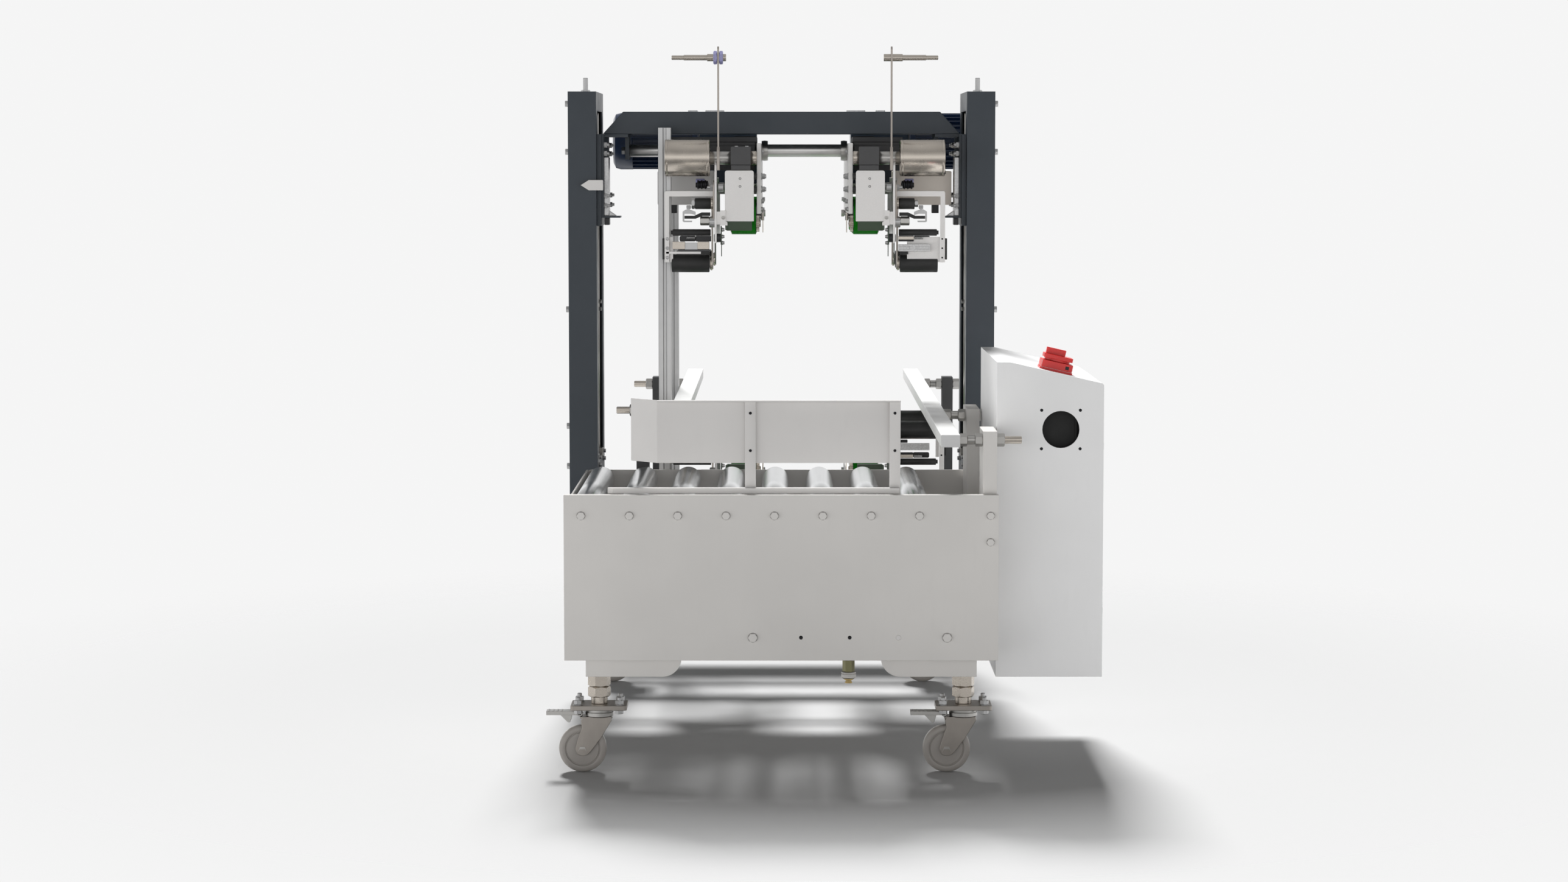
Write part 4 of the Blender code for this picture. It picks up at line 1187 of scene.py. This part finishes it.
def unit_head_plate(unit):
    """Plates of the tape head with their bosses, seen almost edge-on."""
    plate = unit.piece("head_plate", UNIT_PAINT)
    outline = [(874, 1090), (1290, 1090), (1290, 1225), (935, 1225), (918, 1240), (918, 1272),
        (908, 1280), (882, 1280), (870, 1270), (868, 1100)]
    plate.plate(outline, (97.5, 102.5))
    plate.done(1)
    unit.piece("head_link", NICKEL_PLATE).plate(
        pill(890, 1222, 890, 1139, 13, 13), (103.2, 106.2)).done(0.6)
    bosses = unit.piece("head_bosses", ZINC)
    bosses.bar(888, 1219, 10.8, (82, 94.5), 40)
    bosses.nut(888, 1219, 13, (106, 113))
    bosses.bar(888, 1219, 4, (112, 120), 24)
    bosses.bar(888, 1138.7, 12.8, (99, 115), 48, 1.5)
    bosses.bar(1000, 1219, 10.8, (82, 94.5), 40)
    bosses.done(0.3)
    unit.piece("head_stub", STEEL).nut(888, 1141.3, 18.4, (114.8, 136), 0.5).done(0.4)
    tab = unit.piece("head_tab", UNIT_PAINT)
    tab.front(rounded((76.5, 1131), (89.5, 1165.6), 1), (868.5, 872.5))
    tab.front([(72.5, 1131), (77, 1131), (77, 1141), (72.5, 1138)], (869, 872))
    tab.block((84, 98), (871, 876), (1133, 1163))
    tab.done(0.5)
    screw = unit.piece("head_tab_screw", STEEL)
    x, z = unit.x(82.2), unit.z(1148.7)
    screw.lathe("y", x, z, solid((1.5, 867.2), (1.9, 865.9), (3.4, 866), (4, 866.8), (4, 869)),
        32)
    screw.done()
    knurl = unit.piece("head_knurl", BLACK_OXIDE)
    for s in range(6):
        knurl.bar(900, 1225, 10.5 if s % 2 else 9, (118 + 4.2 * s, 122 + 4.2 * s), 24)
    knurl.bar(908, 1224, 6, (117, 147), 24)
    knurl.done(0.3)


def unit_bracket(unit):
    """L bracket round the tape path, with its foot plate and screws."""
    bracket = unit.piece("l_bracket", UNIT_PAINT)
    arm = [(102.6, 1197.4), (208.5, 1197.4), (208.5, 1044.4), (219.6, 1044.4), (219.6, 1206.5),
        (216.4, 1210.2), (102.6, 1210.2)]
    bracket.front(arm, (905, 909))
    bracket.block((216.6, 219.6), (905.5, 938), (1044.6, 1206))
    bracket.block((103, 216), (905.5, 938), (1207.2, 1210.1))
    bracket.done(0.7)
    foot = unit.piece("foot_plate", UNIT_PAINT)
    reach = 131.5 if unit.name == "upper_right" else 200
    foot.front([(reach, 1045), (208, 1045), (208, 1103.5), (reach, 1103.5)], (912, 914.5))
    foot.done(0.5)
    screws = unit.piece("foot_screws", ZINC)
    dark = unit.piece("foot_holes", BLACK_OXIDE)
    # On the right unit, black discs stand in for the screw holes as painted shade.
    for z in (1099, 1077.4, 1055.5):
        x = unit.x(213.2)
        if unit.side == "left":
            screws.lathe("y", x, unit.z(z), solid((2.4, 902.4), (3.6, 903.2), (3.8, 905.4)), 32)
        else:
            dark.lathe("y", x, unit.z(z), [(0, 904.8), (1.9, 904.5), (2.2, 905.6), (0, 905.6)],
                24)
    screws.done() if unit.side == "left" else screws.drop()
    dark.done() if unit.side == "right" else dark.drop()
    unit.piece("foot_pad", BLACK_RUBBER).block((219.8, 224.6), (908, 936), (1051, 1100)).done(0.8)


def unit_wipers(unit):
    """Guide rollers, lever, spring, knife block and brush bar of the tape path."""
    roller = unit.piece("guide_roller", BLACK_RUBBER)
    roller.turned(900, 1181.2, solid((12.2, 112), (13.2, 113), (13.2, 147), (12.4, 148)), 64)
    roller.turned(905, 1114, solid((6.9, 112), (7.7, 113), (7.7, 199.5), (7, 200.5), (4.6, 200.5),
        (4.6, 204.4)), 48)
    roller.done()
    unit.piece("guide_roller_ring", NICKEL).turned(
        900, 1181.2, solid((12.8, 106.4), (13.8, 107.3), (13.8, 111), (12.8, 111.9)), 64).done()
    unit.piece("guide_roller_nut", ZINC).nut(
        900, 1181.2, 22 if unit.side == "left" else 14.5, (148.2, 156.4), 0.4).done(0.4)
    lever = unit.piece("lever", ZINC)
    lever.front([(147, 1162), (158, 1166.5), (169, 1167.5), (177, 1162.5), (177, 1140),
        (174, 1138.2), (156, 1138.2), (154.5, 1141.5), (173, 1141.5), (173, 1157.5),
        (158, 1157.5), (147, 1155)], (893, 897))
    lever.bar(897, 1173, 4.2, (158, 168), 24)
    lever.front([(160, 1177), (166.5, 1177), (166.5, 1165), (160, 1165)], (894, 901))
    lever.done(0.6)
    unit.piece("lever_insert", BLACK_RUBBER).front(
        [(112.5, 1160.8), (133, 1160.8), (150, 1153), (172.5, 1153), (172.5, 1146), (147, 1146),
        (131, 1152.5), (112.5, 1152.5)], (889, 893.4)).done(0.6)
    spring_body = unit.piece("spring_body", BLACK_PAINT)
    spring_body.block((111.5, 147), (908, 922), (1093, 1105.8))
    spring_body.front(rounded((147, 1093), (185, 1105.8), 3.5), (914, 922))
    spring_body.done(0.8)
    spring = unit.piece("spring", ZINC)
    turns, s0, s1, radius = 9, 148.5, 168, 3.1
    path = []
    for i in range(turns * 12 + 1):
        angle = 2 * pi * i / 12
        s = s0 + (s1 - s0) * i / (turns * 12)
        path.append((unit.x(s), 908 + radius * cos(angle), unit.z(1101.5 + radius * sin(angle))))
    spring.sweep(path, 0.75, 8)
    spring.done()
    if unit.side == "right":
        unit.piece("knife_bar", NICKEL).block((111, 147), (904, 908), (1097.5, 1104.8)).done(0.5)
        slotted = unit.piece("slotted_bar", GALVANISED)
        slotted.front(rounded((111, 1070.3), (185, 1074.8), 0.8), (900, 904))
        slotted.front(rounded((111, 1082.2), (185, 1086.8), 0.8), (900, 904))
        for start, end in ((111, 114), (138, 151), (182, 185)):
            slotted.block((start, end), (900.3, 903.7), (1074, 1083))
        slotted.block((112, 184), (903.6, 905.2), (1071, 1086))
        slotted.done(0.4)
    else:
        block = unit.piece("knife_block", NICKEL)
        block.block((172, 201), (900, 914), (1075, 1092.8))
        block.block((115.2, 143), (900, 914), (1075, 1092.8))
        block.done(1)
        centre = unit.piece("knife_centre", ALUMINIUM)
        centre.block((143, 172), (901.5, 913), (1075.6, 1090))
        for i in range(9):
            s = 144.4 + i * 3.1
            centre.front([(s, 1089.6), (s + 2.4, 1089.6), (s + 1.2, 1092.6)], (901.5, 904))
        centre.done(0.4)
        unit.piece("knife_rail", DARK_GREY).block(
            (112, 188), (902, 916), (1070, 1074.8)).done(0.5)
        unit.piece("brush_bar", UNIT_PAINT).block(
            (135, 216.6), (905, 909), (1064.2, 1069.7)).done(0.5)
    unit.piece("roller_stop", BLACK_RUBBER).block(
        (114.8, 134), (905, 921), (1063.4, 1069.8)).done(0.8)


def unit_edge_parts(unit):
    """Small dark plates, knob and clips between the head plate and the belt."""
    unit.piece("edge_knob", BLACK_PAINT).turned(
        884, 1101.8, solid((8.4, 87.6), (10, 89), (10, 101), (8.4, 104.4)), 40).done()
    plates = unit.piece("edge_plates", EDGE_GREEN)
    plates.plate([(872, 1086.5), (898, 1086.5), (898, 1129.5), (872, 1129.5)], (86, 88.6))
    plates.plate([(870, 1059.5), (884, 1059.5), (884, 1088), (870, 1088)], (85.5, 87.2))
    plates.plate([(880, 1041.5), (893, 1041.5), (893, 1098), (880, 1098)], (99.4, 101.6))
    plates.done(0.5)
    screws = unit.piece("edge_screws", ZINC)
    for z in (1121, 1105, 1090.5):
        screws.bar(880, z, 4.6, (82.4, 85.8), 24, 0.3)
        screws.nut(880, z, 6.5, (79.6, 82.6), 0.3)
    screws.done(0.2)


def unit_back_parts(unit):
    """Gear box cover behind the hub, cross rail above it and what hangs from them."""
    unit.piece("housing", BEIGE_PAINT if unit.side == "right" else UNIT_PAINT).front(
        rounded((103, 1176.5), (239.8, 1255.8), 3), (1020, 1178)).done(1)
    dark = unit.piece("housing_blocks", BLACK_PAINT)
    dark.block((219, 226), (1018.5, 1060), (1249, 1257.6))
    dark.block((194.3, 210), (1022, 1060), (1157, 1177))
    dark.done(0.8)
    unit.piece("fittings", LILAC).turned(
        950, 1229.5, solid((8.4, 127), (9.2, 128), (9.2, 146.5), (8.4, 147.5)), 40).done()
    rail = unit.piece("cross_rail", BLACK_PAINT)
    inner, outer = 6, 232 if unit.side == "left" else 124
    rail.block((inner, outer), (1000, 1040), (1324, 1335.6))
    rail.done(0.9)
    hanger = unit.piece("cross_rail_web", DARK_GREY)
    hanger.block((inner + 4, outer - 2), (1006, 1034), (1258, 1324.2))
    hanger.block((inner + 2, outer - 1), (1003, 1037), (1316, 1318.5))
    hanger.done(0.9)
    strut = unit.piece("head_struts", UNIT_PAINT)
    strut.block((5, 98), (1200, 1230), (1200, 1225))
    strut.block((98, 112), (1010, 1150), (1180, 1240))
    strut.done(0.8)


def unit_arm(unit, place):
    """Swinging wipe-down arm: nickel link, rubber roller and its end ring."""
    node = f"{unit.name}_{place}_arm"
    pivot_y = {"front": 905, "rear": 1235}[place]
    pivot_z, roller_y, roller_z = 1165, pivot_y + 25, 1041.7
    link = unit.piece(f"{place}_arm_link", NICKEL_PLATE, node)
    link.plate(pill(pivot_y, pivot_z, roller_y, roller_z, 12, 14), (106.8, 110.4))
    link.bar(pivot_y, pivot_z, 6, (104.6, 106.9), 32)
    link.done(0.6)
    unit.piece(f"{place}_arm_ring", NICKEL, node).turned(
        roller_y, roller_z, solid((15.4, 108.6), (16.4, 109.6), (16.4, 112.2), (15.2, 112.8),
        (15.2, 114), (13, 114.6)), 64).done()
    unit.piece(f"{place}_arm_roller", BLACK_RUBBER, node).turned(
        roller_y, roller_z, solid((19.4, 115.4), (21, 117), (21, 202), (19.6, 203.3)),
        96).done(replaces=(node,))


def unit_motor(unit):
    """Finned motor with its end bell, terminal box and gear case."""
    y, z, radius = 1360, 1328, 69
    unit.piece("gear_case", GEAR_PAINT).plate(
        rounded((1300, 1200), (1420, 1389.8), 14), (8, 148)).done(1.5,
        replaces=(f"{unit.side}_motor",))
    core = unit.piece("motor_body", NAVY_PAINT)
    s0, s1, fin = 150, 312, radius - 8
    core.turned(y, z, solid((radius - 3, s0), (radius, s0 + 3), (radius, s0 + 16), (fin, s0 + 17),
        (fin, s1 - 1), (radius, s1), (radius, s1 + 30), (radius - 3, s1 + 42),
        (radius - 14, s1 + 47.5)), 96)
    fins = 28
    for i in range(fins):
        angle = 2 * pi * (i + 0.5) / fins
        turn = (Matrix.Translation((0, y, unit.z(z))) @ Matrix.Rotation(angle, 4, "X"))
        core.box((unit.x(s0 + 15), unit.x(s1 + 1)), (-1.3, 1.3), (fin - 1, radius - 0.4), turn)
    core.done(0.5, angle=40)
    unit.piece("motor_terminal_box", NAVY_PAINT).block(
        (190, 262), (1376, 1428.5), (1352, 1394)).done(4, 3)
    bolts = unit.piece("motor_bolts", ZINC)
    for dy, dz in ((-50, -78), (50, -78), (-50, 52), (50, 52)):
        bolts.bar(y + dy, z + dz, 8, (148, 149.6), 32, 0.3)
        bolts.nut(y + dy, z + dz, 13, (149.6, 157))
    bolts.done(0.25)


def tape_units():
    for level in ("upper", "lower"):
        for side in SIDES:
            unit = Unit(level, side)
            for make in (unit_side_plate, unit_drive, unit_belt, unit_cover, unit_spindle,
                         unit_head_plate, unit_bracket, unit_wipers, unit_edge_parts,
                         unit_back_parts):
                make(unit)
            for place in ("front", "rear"):
                unit_arm(unit, place)
            if level == "upper":
                unit_reel_arm(unit)
                unit_motor(unit)


# ---------------------------------------------------------------- cabinet, switch and inlet

SLOPE_START_X, SLOPE_END_Z, CABINET_TOP = 480, 815, 860
FAN_X, FAN_Z, FAN_RADIUS, FAN_SCREW = 586, 719, 39, 40.5
SWITCH_X, SWITCH_Y, SWITCH_BASE = 578, 185, 20
CABINET_X, CABINET_Y = span("control_cabinet")[0], (110, 685)
SLOPE = atan2(CABINET_TOP - SLOPE_END_Z, CABINET_X[1] - SLOPE_START_X)


def slope_frame(out=0):
    """Matrix at the switch's seat: X down the slope, Z square out of it."""
    z = CABINET_TOP - (SWITCH_X - SLOPE_START_X) * tan(SLOPE)
    seat = Matrix.Translation((SWITCH_X, SWITCH_Y, z)) @ Matrix.Rotation(SLOPE, 4, "Y")
    return seat @ Matrix.Translation((0, 0, out))


def control_cabinet():
    x0, x1 = CABINET_X
    y0, y1 = CABINET_Y
    shell = soften("control_cabinet", WHITE_PAINT, 1.2)
    shell.name = "cabinet_shell"
    # The near-black sleeve and sheet behind the fan hole are painted shade for the cabinet's shaded
    # inside.
    shade_backing = Piece("cabinet_inside", CABINET_SHADE)
    shade_backing.box((FAN_X - 60, FAN_X + 48), (y0 + 34, y0 + 36), (FAN_Z - 60, FAN_Z + 60))
    shade_backing.box((FAN_X + 32, FAN_X + 36), (y0 + 26, y0 + 34.5), (FAN_Z - 60, FAN_Z + 60))
    shade_backing.ring("y", circle(FAN_X, FAN_Z, 58, 64), circle(FAN_X, FAN_Z, FAN_RADIUS + 0.6, 64),
        y0 + 3.2, y0 + 34.2)
    shade_backing.done(0.8)
    screws = Piece("fan_screws", BLACK_OXIDE)
    for dx in (-FAN_SCREW, FAN_SCREW):
        for dz in (-FAN_SCREW, FAN_SCREW):
            screws.lathe("y", FAN_X + dx, FAN_Z + dz, solid((1.3, y0 + 0.7), (1.6, y0 - 0.2),
                (3.2, y0 - 0.3), (3.5, y0 + 0.4), (2.6, y0 + 1), (2.6, y0 + 6)), 32)
    screws.done()
    Piece("cabinet_door", WHITE_PAINT).prism(
        "x", rounded((y0 + 30, 240), (y1 - 30, 770), 6), x1 - 0.6, x1 + 1.2).done(0.8)
    lock = Piece("cabinet_locks", ZINC)
    for z in (330, 680):
        lock.rod("x", y0 + 52, z, 11, x1 + 1, x1 + 4.2, 48, 0.8)
        lock.box((x1 + 4, x1 + 5.2), (y0 + 50.6, y0 + 53.4), (z - 7, z + 7))
    lock.done(0.3)
    bolts = Piece("cabinet_bolts", ZINC)
    for y in (220, 560):
        for z in (320, 500):
            hex_bolt(bolts, "x", y, z, x0 + 3, 1, 13)
    bolts.done(0.25)


def main_switch():
    """Red rotary switch on the cabinet's sloping top."""
    Piece("switch_base", RED_PLASTIC).prism(
        "z", rounded((-33.7, -33.7), (33.7, 33.7), 3), 4.6, SWITCH_BASE + 0.25,
        slope_frame()).done(0.9)
    Piece("switch_foot", RED_PLASTIC).prism(
        "z", rounded((-35, -34.8), (35, 34.8), 3.5), -0.4, 4.2, slope_frame()).done(0.8)
    # The black patch on the base's side is painted shade for a hole.
    Piece("switch_hole", BLACK_RUBBER).box(
        (17.5, 25.5), (-34, -30), (8.5, 16), slope_frame()).done(0.8)
    lift = SWITCH_BASE + 0.6
    disc = Piece("switch_knob_disc", RED_PLASTIC, "knob")
    disc.prism("z", rounded((-27, -27), (27, 27), 26.9, steps=24), 0, 5, slope_frame(lift))
    disc.prism("z", rounded((-31, -27), (31, 27), 6), 4.4, 13, slope_frame(lift))
    disc.done(0.9, replaces=("switch_knob",))
    Piece("switch_handle", RED_PLASTIC, "knob").prism(
        "z", [(-27, -7.5), (12, -7.5), (14.5, -5), (14.5, 5), (12, 7.5), (-27, 7.5)], 12.6, 26,
        slope_frame(lift)).done(1)


def air_inlet():
    (x0, x1), (y0, y1), (low, high) = span("air_inlet")
    x, y = middle((x0, x1)), middle((y0, y1))
    body = Piece("inlet_hex", OLIVE_BRASS)
    body.hexnut("z", x, y, 22, high - 25, high)
    body.rod("z", x, y, 9, low + 8, high - 24, 40)
    body.done(0.4, replaces=("air_inlet",))
    sleeve = Piece("inlet_sleeve", STEEL)
    outline = []
    for i in range(48):
        angle = 2 * pi * i / 48
        outline.append((x + (15.4 if i % 2 else 14.6) * cos(angle),
            y + (15.4 if i % 2 else 14.6) * sin(angle)))
    sleeve.prism("z", outline, low + 12, low + 19)
    sleeve.lathe("z", x, y, solid((12, low + 9.5), (15, low + 12.2), (15, low + 13),
        (13.8, low + 19.5), (15, low + 20.5), (15, low + 23), (12, low + 25)), 64)
    sleeve.done()
    Piece("inlet_tip", BRASS).lathe(
        "z", x, y, solid((9.5, low + 10), (9.5, low + 7), (6, low + 5.5), (6, low + 3.2),
        (7.6, low + 2.4), (7.6, low), (4, low), (3.6, low + 6)), 48).done()


roller_table()
pusher()
casters()
main_frame()
crosshead()
for rail_side in SIDES:
    guide_rail(rail_side)
profile_posts()
tape_units()
control_cabinet()
main_switch()
air_inlet()


# ---------------------------------------------------------------- stage, light and camera

BACKGROUND = 0.915
FLOOR_RADIUS, FLOOR_FADE = 6.0, (1.3, 2.6)
FILL_BY_HEIGHT = ((0.0, 0.05), (0.28, 0.10), (0.34, 0.85), (0.50, 1.0), (0.57, 1.0),
                  (0.63, 0.20), (0.70, 0.08), (1.0, 0.08))
FILL_ACROSS = ((0.0, 0.95), (0.15, 1.0), (0.32, 1.0), (0.44, 0.76), (0.56, 0.76), (0.75, 0.82),
               (1.0, 0.65))
SHEEN_BY_HEIGHT = ((0.0, 0.10), (0.30, 0.12), (0.42, 0.35), (0.50, 1.0), (0.56, 1.05),
                   (0.66, 0.55), (0.80, 0.32), (1.0, 0.55))
LENS_MM, CAMERA_PLACE, CAMERA_DOWN = 75.81, (5.8, -6786.0, 1280.0), 4.85


def stage_floor():
    """Pale floor disc that fades out into the background."""
    shape = bmesh.new()
    bmesh.ops.create_circle(shape, cap_ends=True, segments=96, radius=FLOOR_RADIUS)
    mesh = bpy.data.meshes.new("floor")
    shape.to_mesh(mesh)
    shape.free()
    floor = bpy.data.objects.new("floor", mesh)
    bpy.context.collection.objects.link(floor)
    floor.location = (0.0, 0.0, -0.0005)
    surface = Surface("floor_pale", 0.85)
    link = surface.tree.links.new
    surface.colour((0.475, 0.475, 0.475, 1.0))
    length = surface.add("VectorMath", Vector=surface.place)
    length.operation = "LENGTH"
    fade = surface.level(length.outputs["Value"], 0.0, 1.0, *FLOOR_FADE)
    clear = surface.add("BsdfTransparent")
    mix = surface.add("MixShader", Fac=fade)
    link(surface.shader.outputs["BSDF"], mix.inputs[1])
    link(clear.outputs["BSDF"], mix.inputs[2])
    link(mix.outputs["Shader"], surface.tree.nodes["Material Output"].inputs["Surface"])
    mesh.materials.append(surface.material)


def studio_world():
    """Plain pale background; reflections and fill light come from a soft studio gradient."""
    world = bpy.data.worlds.new("studio")
    world.use_nodes = True
    tree = world.node_tree
    tree.nodes.clear()
    link = tree.links.new

    def add(kind):
        return tree.nodes.new("ShaderNode" + kind)

    def ramp(value, stops):
        """Grey that follows a direction's component from -1 to 1 through (position, grey) stops."""
        scale = add("MapRange")
        scale.inputs["From Min"].default_value = -1.0
        scale.inputs["From Max"].default_value = 1.0
        link(value, scale.inputs["Value"])
        node = add("ValToRGB")
        elements = node.color_ramp.elements
        while len(elements) > 1:
            elements.remove(elements[-1])
        elements[0].position, elements[0].color = stops[0][0], (*[stops[0][1]] * 3, 1.0)
        for position, grey in stops[1:]:
            elements.new(position).color = (*[grey] * 3, 1.0)
        link(scale.outputs["Result"], node.inputs["Fac"])
        return node.outputs["Color"]

    def light(strength, colour):
        node = add("Background")
        node.inputs["Strength"].default_value = strength
        link(colour, node.inputs["Color"])
        return node.outputs["Background"]

    def mix(amount, first, second):
        node = add("MixShader")
        for socket, value in zip(node.inputs, (amount, first, second)):
            link(value, socket)
        return node.outputs["Shader"]

    split = add("SeparateXYZ")
    link(add("TexCoord").outputs["Generated"], split.inputs[0])
    both = add("Mix")
    both.data_type, both.blend_type = "RGBA", "MULTIPLY"
    both.inputs[0].default_value = 1.0
    link(ramp(split.outputs["Z"], FILL_BY_HEIGHT), both.inputs[6])
    link(ramp(split.outputs["X"], FILL_ACROSS), both.inputs[7])
    plain = add("Background")
    plain.inputs["Color"].default_value = (BACKGROUND, BACKGROUND, BACKGROUND, 1.0)
    path = add("LightPath")
    lit = mix(path.outputs["Is Glossy Ray"], light(1.95, both.outputs[2]),
              light(1.0, ramp(split.outputs["Z"], SHEEN_BY_HEIGHT)))
    seen = mix(path.outputs["Is Camera Ray"], lit, plain.outputs["Background"])
    link(seen, add("OutputWorld").inputs["Surface"])
    bpy.context.scene.world = world


def sun_light(name, toward, strength, softness):
    """Soft distant key light; toward points from the object to the light."""
    light = bpy.data.lights.new(name, "SUN")
    light.energy = strength
    light.angle = radians(softness)
    item = bpy.data.objects.new(name, light)
    item.location = (0.0, 0.0, 4.0)
    item.visible_glossy = False
    item.rotation_euler = (-Vector(toward)).to_track_quat("-Z", "Y").to_euler()
    bpy.context.collection.objects.link(item)


def studio_camera():
    lens = bpy.data.cameras.new("camera")
    lens.lens = LENS_MM
    lens.sensor_fit = "HORIZONTAL"
    lens.sensor_width = 36.0
    lens.clip_end = 50.0
    item = bpy.data.objects.new("camera", lens)
    item.location = at(*CAMERA_PLACE)
    item.rotation_euler = (radians(90.0 - CAMERA_DOWN), 0.0, 0.0)
    bpy.context.collection.objects.link(item)
    bpy.context.scene.camera = item


stage_floor()
studio_world()
sun_light("key", (-0.07, 1.05, 1.0), 7.6, 13.0)
studio_camera()
bpy.context.scene.view_settings.view_transform = "Standard"
